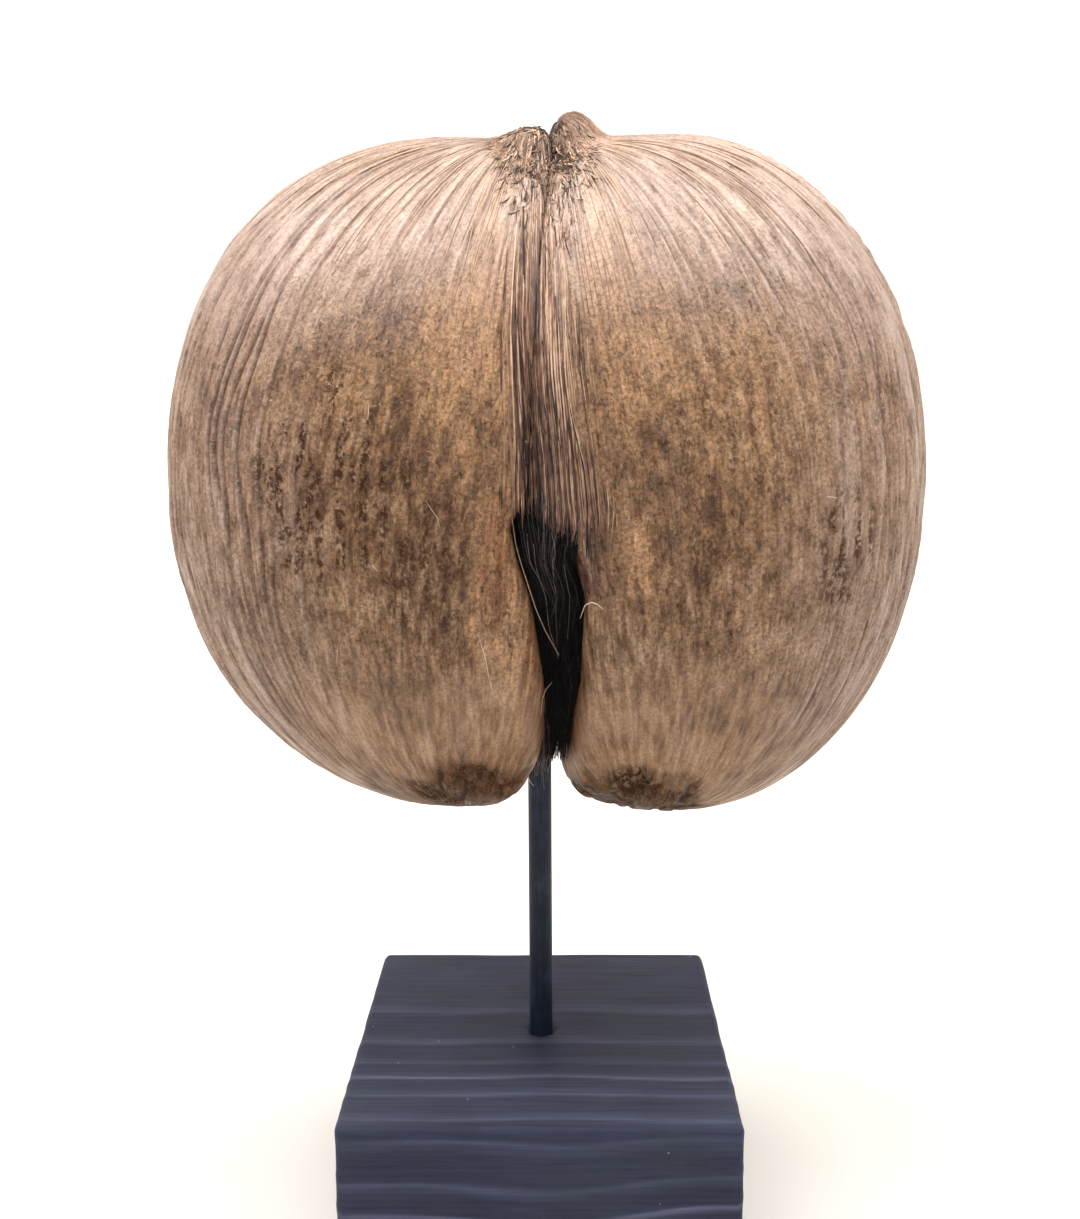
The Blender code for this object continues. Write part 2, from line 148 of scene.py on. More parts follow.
husk = {
    "skin": ((0.41, "4f3320"), (0.50, "82603f"), (0.60, "a6876a")),   # from dark to light
    "skinParts": {"mottle": 0.42, "cloud": 0.28, "streak": 0.22, "thread": 0.08},
    "soot": "0c090a",
    "scarSkin": "5d4431",
    # painted shade in the scars' wrinkle grooves
    "scar": "1c100a",
    # painted shade in the furrows beside the ridges
    "furrow": "4f3320",
    "pit": "341b10",
    "sparkle": "d3bda9",
    # attribute, its colour, the noise that breaks it up, and its share at two values of that noise
    "stains": (
        ("umber", "4f3320", "mottle", (0.40, 1.0), (0.58, 0.25)),     # where the skin has darkened
        ("dusty", "ab9488", "mottle", (0.36, 0.50), (0.56, 0.95)),    # dry fibre, partly painted highlight: paler on the top, shoulders, outer flanks and ridges
        ("ochre", "bc9168", "mottle", (0.38, 0.45), (0.60, 0.95)),    # raw fibre showing through
        ("rust", "6e4226", "streak", (0.44, 1.0), (0.56, 0.25)),
        ("band", "4b342b", "thread", (0.40, 1.0), (0.60, 0.55)),      # skin under the band's strands: its own purple-brown, darkened as painted shade in the gaps between them
        ("red", "3d1a17", "mottle", (0.42, 0.9), (0.56, 0.2)),
    ),
    "attributes": ("combed", "soot", "scar", "leather", "furrow", "pitted", "pit"),
    # noises: the coordinates and their scales, the size in millimetres, detail and roughness
    "noises": {
        "streak": ("fibre", (1.0, 0.05, 1.0), 2.4, 3.0, 0.6),         # width of a fibre streak
        "thread": ("fibre", (1.0, 0.05, 1.0), 0.8, 2.0, 0.6),
        "mottle": ("fibre", (1.0, 0.24, 1.0), 3.6, 4.0, 0.68),        # blotches longer than wide
        "line": ("fibre", (1.0, 0.035, 1.0), 3.4, 1.0, 0.4),
        "bead": ("fibre", (1.0, 0.6, 1.0), 1.3, 2.0, 0.6),
        "row": ("fibre", (1.0, 0.30, 1.0), 6.0, 2.0, 0.5),
        "hole": ("fibre", (1.0, 0.50, 1.0), 2.0, 3.0, 0.65),
        "fleck": ("fibre", (1.0, 0.34, 1.0), 1.5, 2.0, 0.6),
        "grain": ("object", (1.0, 1.0, 1.0), 1.25, 3.0, 0.75),        # sandy speckle
        "cloud": ("object", (1.0, 1.0, 1.0), 38.46, 4.0, 0.6),
        "wrinkle": ("object", (1.5, 0.6, 0.6), 5.2, 3.5, 0.62),       # on the scarred tips
    },
    # what each noise gives: its share at some values of the noise
    "shares": {
        "wrinkle": ("wrinkle", (0.440, 0.15), (0.480, 1.0), (0.515, 1.0), (0.550, 0.05)),
        "wrinkleCloud": ("cloud", (0.38, 0.40), (0.60, 0.95)),
        "scarStain": ("mottle", (0.40, 1.0), (0.60, 0.60)),
        "speck": ("grain", (0.36, 0.40), (0.50, 0.98), (0.64, 1.46)),
        "furrow": ("line", (0.455, 0.0), (0.492, 1.0), (0.508, 1.0), (0.545, 0.0)),
        "furrowCloud": ("cloud", (0.40, 0.10), (0.58, 0.65)),
        "row": ("row", (0.42, 0.0), (0.50, 1.0)),
        "hole": ("hole", (0.46, 1.0), (0.54, 0.0)),
        "bead": ("bead", (0.47, 1.0), (0.56, 0.20)),
        "fleck": ("fleck", (0.36, 0.9), (0.45, 0.0)),
        "sparkle": ("bead", (0.70, 0.0), (0.76, 0.55)),
        "roughness": ("mottle", (0.36, 0.56), (0.62, 0.36)),
    },
}


def huskMaterial():
    # dry palm husk, weathered and waxed: sandy speckle and blotches, rows of dark pits, streaks where
    # the fibres are combed out, and a soft sheen on what faces the light
    material, tree, shader = newMaterial("waxedPalmHusk", IOR=1.5)
    add = functools.partial(addNode, tree)
    # fibre is the place across and along the fibres, in metres
    places = {"object": add("TexCoord", (), "Object"), "fibre": add("UVMap", (), "UV", uv_map="fibre")}
    mark = {name: add("Attribute", (), "Fac", attribute_name=name) for name in husk["attributes"]}
    noise = {}
    for name, (space, scale, size, detail, roughness) in husk["noises"].items():
        place = add("Mapping", {"Vector": places[space], "Scale": scale})
        sizes = {"Vector": place, "Scale": 1000 / size, "Detail": detail, "Roughness": roughness}
        noise[name] = add("TexNoise", sizes, "Fac")
    # streaks and threads show where the fibres are combed out
    for name in ("streak", "thread"):
        sides = {0: mark["combed"], 6: (0.5, 0.5, 0.5, 1.0), 7: noise[name]}
        noise[name] = add("Mix", sides, 2, data_type="RGBA")
    share = {}
    for name, (pattern, *stops) in husk["shares"].items():
        share[name] = add("ValToRGB", (noise[pattern],), stops=stops)

    shade = None
    for name, part in husk["skinParts"].items():
        weighted = add("Math", (noise[name], part), operation="MULTIPLY")
        shade = add("Math", (shade, weighted), operation="ADD") if shade else weighted
    base = add("ValToRGB", (shade,), stops=husk["skin"])
    for name, colour, pattern, *stops in husk["stains"]:
        mark[name] = add("Attribute", (), "Fac", attribute_name=name)
        broken = add("ValToRGB", (noise[pattern],), stops=stops)
        share[name] = add("Math", (mark[name], broken), operation="MULTIPLY")
        base = add("Mix", {0: share[name], 6: base, 7: linearColour(colour)}, 2, data_type="RGBA")
    # soot has a ragged edge of threads
    soot = add("Math", (noise["thread"], 1.2), operation="MULTIPLY")
    soot = add("Math", (mark["soot"], soot), operation="ADD")
    soot = add("Math", (soot, 0.6), operation="SUBTRACT")
    soot = add("ValToRGB", (soot,), stops=((0.38, 0.0), (0.62, 1.0)))
    # scarred tips: darker skin, and thin wrinkle grooves wherever a noise crosses its middle, painted dark as
    # their shade
    wrinkle = add("Math", (share["wrinkle"], share["wrinkleCloud"]), operation="MULTIPLY")
    stained = add("Math", (mark["scar"], share["scarStain"]), operation="MULTIPLY")
    wrinkled = add("Math", (mark["scar"], wrinkle), operation="MULTIPLY")
    for name, amount in (("soot", soot), ("scarSkin", stained), ("scar", wrinkled)):
        base = add("Mix", {0: amount, 6: base, 7: linearColour(husk[name])}, 2, data_type="RGBA")
    # the speckle is fainter on the dry fibre with its painted highlight, and on the smooth skin low down
    smooth = add("Math", (share["dusty"], mark["leather"]), operation="MAXIMUM")
    calm = add("Math", (smooth, 0.52), operation="MULTIPLY")
    calm = add("Math", (0.92, calm), operation="SUBTRACT")
    base = add("Mix", {0: calm, 6: base, 7: share["speck"]}, 2, data_type="RGBA", blend_type="MULTIPLY")
    # thin furrows, drawn the way the wrinkles are and painted dark as the shade in them
    furrow = add("Math", (share["furrow"], share["furrowCloud"]), operation="MULTIPLY")
    loose = add("Math", (mark["combed"], 0.85), operation="MULTIPLY")
    loose = add("Math", (loose, 0.15), operation="ADD")
    furrow = add("Math", (furrow, loose), operation="MULTIPLY")
    furrow = add("Math", (furrow, mark["furrow"]), operation="MAXIMUM")
    # rows of ragged pits along the fibres, and flecks on the darker skin
    hole = add("Math", (share["row"], share["hole"]), operation="MULTIPLY")
    hole = add("Math", (hole, mark["pitted"]), operation="MULTIPLY")
    pit = add("Math", (mark["pit"], share["bead"]), operation="MULTIPLY")
    dark = add("ValToRGB", (shade,), stops=((0.44, 0.68), (0.60, 0.20)))
    fleck = add("Math", (share["fleck"], dark), operation="MULTIPLY")
    plain = add("Math", (mark["leather"], 0.7), operation="MULTIPLY")
    plain = add("Math", (share["dusty"], plain), operation="MAXIMUM")
    plain = add("Math", (1.0, plain), operation="SUBTRACT")
    fleck = add("Math", (fleck, plain), operation="MULTIPLY")
    pit = add("Math", (pit, hole), operation="MAXIMUM")
    pit = add("Math", (pit, fleck), operation="MAXIMUM")
    pitShare = add("Math", (pit, 0.86), operation="MULTIPLY")
    for name, amount in (("furrow", furrow), ("pit", pitShare), ("sparkle", share["sparkle"])):
        base = add("Mix", {0: amount, 6: base, 7: linearColour(husk[name])}, 2, data_type="RGBA")
    # dark places are matt
    matt = add("Math", (pit, mark["scar"]), operation="MAXIMUM")
    matt = add("Math", (matt, add("Math", (share["umber"], 0.75), operation="MULTIPLY")), operation="MAXIMUM")
    matt = add("Math", (matt, soot), operation="MAXIMUM")
    gloss = add("ValToRGB", (matt,), stops=((0.0, 0.55), (0.9, 0.08)))
    # grain and threads stand up, and the dark lines are cut in
    grainHeight = add("Math", (calm, 0.52), operation="MULTIPLY")
    height = add("Math", (noise["grain"], grainHeight), operation="MULTIPLY")
    threadHeight = add("Math", (noise["thread"], 0.45), operation="MULTIPLY")
    height = add("Math", (height, threadHeight), operation="ADD")
    for cut, depth in ((furrow, 0.5), (pit, 0.8), (wrinkled, 1.2)):
        cut = add("Math", (cut, depth), operation="MULTIPLY")
        height = add("Math", (height, cut), operation="SUBTRACT")
    bump = add("Bump", {"Strength": 0.8, "Distance": 0.0007, "Height": height})
    finish = {"Base Color": base, "Roughness": share["roughness"], "Specular IOR Level": gloss}
    finish["Normal"] = bump
    for socket, value in finish.items():
        tree.links.new(value, shader.inputs[socket])
    return material


def strandMaterial(name, stops, roughness, specular=0.5):
    # plant fibre: each strand has a shade of its own, with faint lengths of lighter and darker
    material, tree, shader = newMaterial(name, Roughness=roughness, IOR=1.45, Specular_IOR_Level=specular)
    add = functools.partial(addNode, tree)
    place = add("Mapping", {"Vector": add("TexCoord", (), "Object"), "Scale": (1.0, 1.0, 0.30)})
    mottle = add("TexNoise", {"Vector": place, "Scale": 620.0, "Detail": 3.0, "Roughness": 0.6}, "Fac")
    own = add("Attribute", (), "Fac", attribute_name="shade")
    cool = add("Attribute", (), "Fac", attribute_name="cool")
    shade = add("Math", (own, add("Math", (mottle, 0.9), operation="MULTIPLY")), operation="ADD")
    shade = add("Math", (shade, 0.45), operation="SUBTRACT", use_clamp=True)
    colour = add("ValToRGB", (shade,), stops=stops)
    colour = add("Mix", {0: cool, 6: colour, 7: linearColour("7f828a")}, 2, data_type="RGBA")
    tree.links.new(colour, shader.inputs["Base Color"])
    return material


# shapes put into meshes

def newPiece(name, points, faces, material, attributes=None, uv=None):
    # uv is one pair for each corner of each face, in the faces' order
    mesh = bpy.data.meshes.new(name)
    mesh.from_pydata(points.reshape(-1, 3).tolist(), [], [list(f) for group in faces for f in group.tolist()])
    mesh.polygons.foreach_set("use_smooth", np.full(len(mesh.polygons), True))
    for key, values in (attributes or {}).items():
        layer = mesh.attributes.new(key, "FLOAT", "POINT")
        layer.data.foreach_set("value", np.ravel(values).astype(np.float32))
    if uv is not None:
        mesh.uv_layers.new(name="fibre").data.foreach_set("uv", uv.astype(np.float32).ravel())
    mesh.materials.append(material)
    mesh.update()
    piece = bpy.data.objects.new(name, mesh)
    bpy.context.scene.collection.objects.link(piece)
    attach(piece, "root")
    return piece


def ringQuads(rings, sides):
    # corner numbers of the quads between closed rings that follow one another
    row, col = np.meshgrid(np.arange(rings - 1), np.arange(sides), indexing="ij")
    turned = (col + 1) % sides
    corners = (row * sides + col, row * sides + turned, (row + 1) * sides + turned, (row + 1) * sides + col)
    return np.stack(corners, -1).reshape(-1, 4)


def tubes(paths, radii, sides):
    # one round tube along each path: rings stand square to the path and the ends close in points
    # paths is (tubes, points, 3) and radii is (tubes, points)
    count, length = radii.shape
    heading = np.gradient(paths, axis=1)
    heading /= np.linalg.norm(heading, axis=-1, keepdims=True) + 1e-12
    helper = np.where(np.abs(heading[..., :1]) < 0.8, (1.0, 0.0, 0.0), (0.0, 1.0, 0.0))
    across = np.cross(heading, helper)
    across /= np.linalg.norm(across, axis=-1, keepdims=True)
    other = np.cross(heading, across)
    angle = np.arange(sides) / sides * 2 * math.pi
    ring = np.cos(angle)[:, None] * across[:, :, None] + np.sin(angle)[:, None] * other[:, :, None]
    rings = paths[:, :, None] + ring * radii[..., None, None]
    perTube = length * sides + 2
    points = np.concatenate((rings.reshape(count, -1, 3), paths[:, :1], paths[:, -1:]), axis=1)
    side = np.arange(sides)
    turned = (side + 1) % sides
    last = (length - 1) * sides
    first = np.stack((turned, side, np.full(sides, length * sides)), -1)
    final = np.stack((last + side, last + turned, np.full(sides, length * sides + 1)), -1)
    offset = (np.arange(count) * perTube)[:, None, None]
    faces = [(ringQuads(length, sides)[None] + offset).reshape(-1, 4)]
    faces.append((np.concatenate((first, final))[None] + offset).reshape(-1, 3))
    return points, faces


def newStrands(name, paths, radii, sides, material, shade, cool=0.0):
    # a piece of tubes, with one shade for each
    points, faces = tubes(paths, radii, sides)
    each = np.ones(points.shape[:2])
    values = {"shade": each * np.reshape(shade, (-1, 1)), "cool": each * np.reshape(cool, (-1, 1))}
    return newPiece(name, points, faces, material, values)


# the seed's two lobes, in metres; heights stand above the block's top

leftLobe = {
    "side": -1,
    "centre": (-0.0315, 0.0, 0.2255),
    "outer": 0.1085, "inner": 0.092,
    "top": 0.130, "bottom": 0.123,
    "topPowers": (2.2, 2.6), "bottomPowers": (2.0, 2.3),   # outer side, inner side
    "crown": (-0.004, -0.018, 0.352),
    "tip": (-0.029, -0.020, 0.108),
    "moundCentre": (-0.0008, -0.019, 0.3482), "moundRadius": (0.0078, 0.0130, 0.0078),
    "scar": (-0.0275, -0.048, 0.1175),
    "seed": 3,
}
rightLobe = {
    "side": 1,
    "centre": (0.0485, 0.0, 0.2285),
    "outer": 0.097, "inner": 0.092,
    "top": 0.1275, "bottom": 0.128,
    "topPowers": (2.05, 2.6), "bottomPowers": (2.1, 2.2),
    "crown": (0.010, -0.018, 0.354),
    "tip": (0.040, -0.020, 0.106),
    "moundCentre": (0.0134, -0.014, 0.3522), "moundRadius": (0.0074, 0.0110, 0.0104),
    "scar": (0.0325, -0.044, 0.1145),
    "seed": 31,
}
body = {
    "front": 0.090, "back": 0.096, "sectionPower": 2.25,
    "scale": 0.100, "moundBlend": 0.010,
    "eyeMiddle": 0.002, "eyeOffset": 0.042, "eyeHeight": 0.228,   # where a lobe's grid is cast from
    "reach": 0.260,                       # beyond the surface, from there
    "columns": 660, "rows": 148,
    "perimeter": 0.520, "length": 0.340,  # round the fibres and along them
}
cleft = {
    # pairs of height and half width, or height and x; a width below 0 closes the cleft
    "mouthHalf": ((0.136, 0.0040), (0.158, 0.0054), (0.196, 0.0090), (0.208, 0.0089),
                  (0.2205, 0.0042), (0.228, -0.0025)),
    "mouthMiddle": ((0.110, 0.0050), (0.146, 0.0074), (0.166, 0.0090), (0.196, 0.0074), (0.208, 0.0036),
                    (0.2205, -0.0038), (0.228, -0.0055), (0.260, -0.0040), (0.300, -0.0010), (0.335, 0.0035)),
    "slitHalf": ((0.100, 0.0072), (0.165, 0.0068), (0.182, 0.0058), (0.192, -0.0025)),
    "slitMiddle": ((0.170, 0.0008), (0.200, 0.0020), (0.240, 0.0035)),
    "backHalf": ((0.130, 0.0040), (0.160, 0.0050), (0.188, 0.0040), (0.200, -0.0025)),
    "backMiddle": 0.003,
    "mouthReach": (-0.018, -0.062), "backReach": (0.022, 0.070),        # in y
    "blendFront": 0.009, "blendBack": 0.034, "blendAlong": (-0.030, 0.045),   # rounding of the cleft's edges
    "blendLow": 0.004, "lowHeights": (0.150, 0.105),
    "blendCrown": 0.4, "crownHeights": (0.325, 0.348),
}


# the bands of strands down the front and the back
frontBand = {
    "face": -1, "count": 540, "points": 18, "sides": 4, "seed": 5,
    "left": ((0.200, -0.0062), (0.240, -0.0064), (0.284, -0.0078), (0.330, -0.0050)),
    "right": ((0.205, 0.0185), (0.225, 0.0180), (0.240, 0.0166), (0.255, 0.0146), (0.270, 0.0128),
              (0.285, 0.0118), (0.300, 0.0111), (0.330, 0.0090)),
    "top": 0.332,
    # heights of the lower ends, by the place across
    "bottom": ((-0.1, 0.2285), (0.2, 0.2235), (0.4, 0.2140), (0.8, 0.2135), (1.2, 0.2200)),
    "mouthShade": 0.25,          # at the lower ends
    "length": (0.016, 0.100),
    "spill": 0.35,               # how far the last of them stray over the right lobe, in widths
    "radius": (0.00013, 0.00040),
    "fusedAbove": 0.2290,
}
backBand = {
    "face": 1, "count": 300, "points": 18, "sides": 4, "seed": 9,
    "left": ((0.190, -0.0075), (0.335, -0.0060)),
    "right": ((0.190, 0.0125), (0.335, 0.0095)),
    "top": 0.334,
    "bottom": ((0.0, 0.192), (1.0, 0.192)),
    "mouthShade": 0.80,
    "length": (0.020, 0.110),
    "spill": 0.12,
    "radius": (0.00016, 0.00050),
    "fusedAbove": 0.2015,
}


def cleftWalls(y, z):
    # x of the cleft's left and right walls
    front = smoothStep(*cleft["mouthReach"], y)
    back = smoothStep(*cleft["backReach"], y)
    half = mix(along(cleft["slitHalf"], z), along(cleft["mouthHalf"], z), front)
    half = mix(half, along(cleft["backHalf"], z), back)
    middle = mix(along(cleft["slitMiddle"], z), along(cleft["mouthMiddle"], z), front)
    middle = mix(middle, cleft["backMiddle"], back)
    return middle - half, middle + half


def lobeField(lobe, points):
    # below 0 inside a lobe: a superellipse in front view and again in depth, with the
    # crown's mound added and the cleft's wall cutting it, both blended smoothly
    x, y, z = points[..., 0], points[..., 1], points[..., 2]
    outward = lobe["side"] * (x - lobe["centre"][0])
    upward = z - lobe["centre"][2]
    reach = np.where(outward > 0, lobe["outer"], lobe["inner"])
    height = np.where(upward > 0, lobe["top"], lobe["bottom"])
    outerPower = np.where(upward > 0, lobe["topPowers"][0], lobe["bottomPowers"][0])
    innerPower = np.where(upward > 0, lobe["topPowers"][1], lobe["bottomPowers"][1])
    power = np.where(outward > 0, outerPower, innerPower)
    outline = (np.abs(outward / reach) ** power + np.abs(upward / height) ** power) ** (1.0 / power)
    halfDepth = np.where(y < 0, body["front"], body["back"])
    n = body["sectionPower"]
    solid = body["scale"] * ((outline ** n + np.abs(y / halfDepth) ** n) ** (1.0 / n) - 1.0)
    offset = (points - np.array(lobe["moundCentre"])) / np.array(lobe["moundRadius"])
    rise = min(lobe["moundRadius"]) * (np.linalg.norm(offset, axis=-1) - 1.0)
    solid = -smoothMax(-solid, -rise, body["moundBlend"])
    leftWall, rightWall = cleftWalls(y, z)
    cut = rightWall - x if lobe["side"] > 0 else x - leftWall
    blend = mix(cleft["blendFront"], cleft["blendBack"], smoothStep(*cleft["blendAlong"], y))
    blend = blend + cleft["blendLow"] * smoothStep(*cleft["lowHeights"], z)
    blend = blend * mix(1.0, cleft["blendCrown"], smoothStep(*cleft["crownHeights"], z))
    return smoothMax(solid, cut, blend)


def fusedField(points):
    return np.minimum(lobeField(leftLobe, points), lobeField(rightLobe, points))


def cast(start, directions, field, reach):
    # distance along each direction at which field turns positive, by halving
    near = np.zeros(directions.shape[:-1])
    far = np.full(directions.shape[:-1], reach)
    for _ in range(26):
        middle = (near + far) / 2.0
        inside = field(start + directions * middle[..., None]) < 0
        near = np.where(inside, middle, near)
        far = np.where(inside, far, middle)
    return near


def fibreDirections(lobe, eye, turn, share):
    # directions from the eye along circles that run from the crown to the tip:
    # turn is each circle's angle about the line between them, share runs 0 to 1 along it
    toCrown = np.array(lobe["crown"]) - eye
    toCrown /= np.linalg.norm(toCrown)
    toTip = np.array(lobe["tip"]) - eye
    toTip /= np.linalg.norm(toTip)
    middle = (toCrown + toTip) / 2.0
    chord = (toTip - toCrown) / 2.0
    chordLength = np.linalg.norm(chord)
    chordAxis = chord / chordLength
    middleLength = np.linalg.norm(middle)
    first = middle / middleLength
    second = np.cross(chordAxis, first)
    sideways = np.cos(turn)[..., None] * first + np.sin(turn)[..., None] * second
    radius = np.sqrt(1.0 - (middleLength * np.sin(turn)) ** 2)
    centre = middle - (middleLength * np.cos(turn))[..., None] * sideways
    endAngle = np.arctan2(middleLength * np.cos(turn), chordLength)
    angle = mix(math.pi - endAngle, endAngle, share)
    arc = np.cos(angle)[..., None] * chordAxis + np.sin(angle)[..., None] * sideways
    return centre + radius[..., None] * arc


def lobeEye(lobe):
    return np.array((lobe["side"] * body["eyeOffset"] + body["eyeMiddle"], 0.0, body["eyeHeight"]))


def lobeReach(lobe, directions):
    # how far the lobe's surface lies from its eye
    return cast(lobeEye(lobe), directions, lambda p: lobeField(lobe, p), body["reach"])


relief = {
    # raised fibres and the furrow beside each
    "ridgeMm": 3.8, "ridgeLengthMm": 80.0, "ridgeHeight": 0.00085,
    "fineMm": 2.1, "fineLengthMm": 40.0, "fineHeight": 0.00022,
    "threadMm": 1.3, "threadHeight": 0.00022,
    # rows of pits
    "rowMm": 7.0, "chainMm": 4.6, "chainLengthMm": 24.0,
    "pitMm": 2.0, "pitLengthMm": 4.2, "pitDepth": 0.00070,
    "lumpHeight": 0.0009, "lumpSize": 0.042,
    "scarHeight": 0.0015, "scarRadius": (0.027, 0.030, 0.018), "scarRagged": 0.016,
    "crownHeight": 0.0008, "crownPoint": (0.002, -0.037, 0.346), "crownRadius": (0.0175, 0.026, 0.019),
    "wrinkleSize": 0.0115, "wrinkleSqueeze": (1.45, 0.75, 0.65),
}
# where each zone of the husk begins and is full, in y, x or height
zones = {
    "frontal": (0.010, -0.030), "face": (-0.015, -0.045),
    "flank": (0.062, 0.108),
    "low": (0.185, 0.150), "middleFoot": (0.155, 0.190), "middleTop": (0.300, 0.262), "top": (0.262, 0.318),
    "knobSide": (0.007, 0.013), "knobFoot": (0.344, 0.351),
}
# patches on the front, as (x, height, half width, half height, strength)
ochrePatches = (
    (-0.0135, 0.290, 0.0085, 0.040, 0.55),
    (-0.026, 0.268, 0.012, 0.030, 0.50),
    (-0.0125, 0.200, 0.010, 0.032, 0.75),
    (-0.0045, 0.168, 0.005, 0.020, 0.60),
    (0.024, 0.306, 0.009, 0.026, 0.38),
    (0.034, 0.272, 0.014, 0.022, 0.45),
    (0.0345, 0.210, 0.0045, 0.012, 0.85),
    (-0.058, 0.262, 0.014, 0.014, 0.25),
    (0.070, 0.262, 0.020, 0.030, 0.25),
)
rustPatches = (
    (-0.0130, 0.208, 0.0060, 0.022, 1.0),
    (-0.0022, 0.160, 0.0035, 0.018, 0.9),
    (0.0140, 0.150, 0.0030, 0.014, 0.7),
    (-0.0115, 0.232, 0.003, 0.018, 0.4),
)
sootPatches = (
    (0.0045, 0.2112, 0.0098, 0.0112, 1.0),
    (0.0085, 0.2060, 0.0050, 0.0090, 0.9),
)
redPatches = (
    (0.0180, 0.2035, 0.0042, 0.0085, 1.1),
    (0.0172, 0.190, 0.0022, 0.016, 0.6),
)
pitPatches = (
    (-0.064, 0.232, 0.034, 0.042, 1.0),
    (-0.038, 0.212, 0.020, 0.030, 0.8),
    (-0.100, 0.240, 0.020, 0.030, 0.5),
    (0.060, 0.250, 0.030, 0.030, 0.6),
    (0.050, 0.205, 0.018, 0.030, 0.6),
    (0.103, 0.215, 0.012, 0.026, 0.9),
    (0.105, 0.255, 0.020, 0.030, 0.5),
)
umberPatches = (
    (-0.070, 0.230, 0.050, 0.042, 0.70),
    (-0.036, 0.205, 0.020, 0.034, 0.7),
    (0.040, 0.245, 0.014, 0.020, 0.45),
    (0.078, 0.222, 0.040, 0.034, 0.18),
    (0.034, 0.188, 0.010, 0.024, 0.45),
)


def patchSum(patches, x, z, ragged):
    # the strongest of some soft-edged ellipses on the front, with ragged edges
    total = np.zeros_like(x)
    for px, pz, halfWide, halfHigh, strength in patches:
        reach = np.sqrt(((x - px) / halfWide) ** 2 + ((z - pz) / halfHigh) ** 2) + ragged
        total = np.maximum(total, strength * smoothStep(1.4, 0.5, reach))
    return total


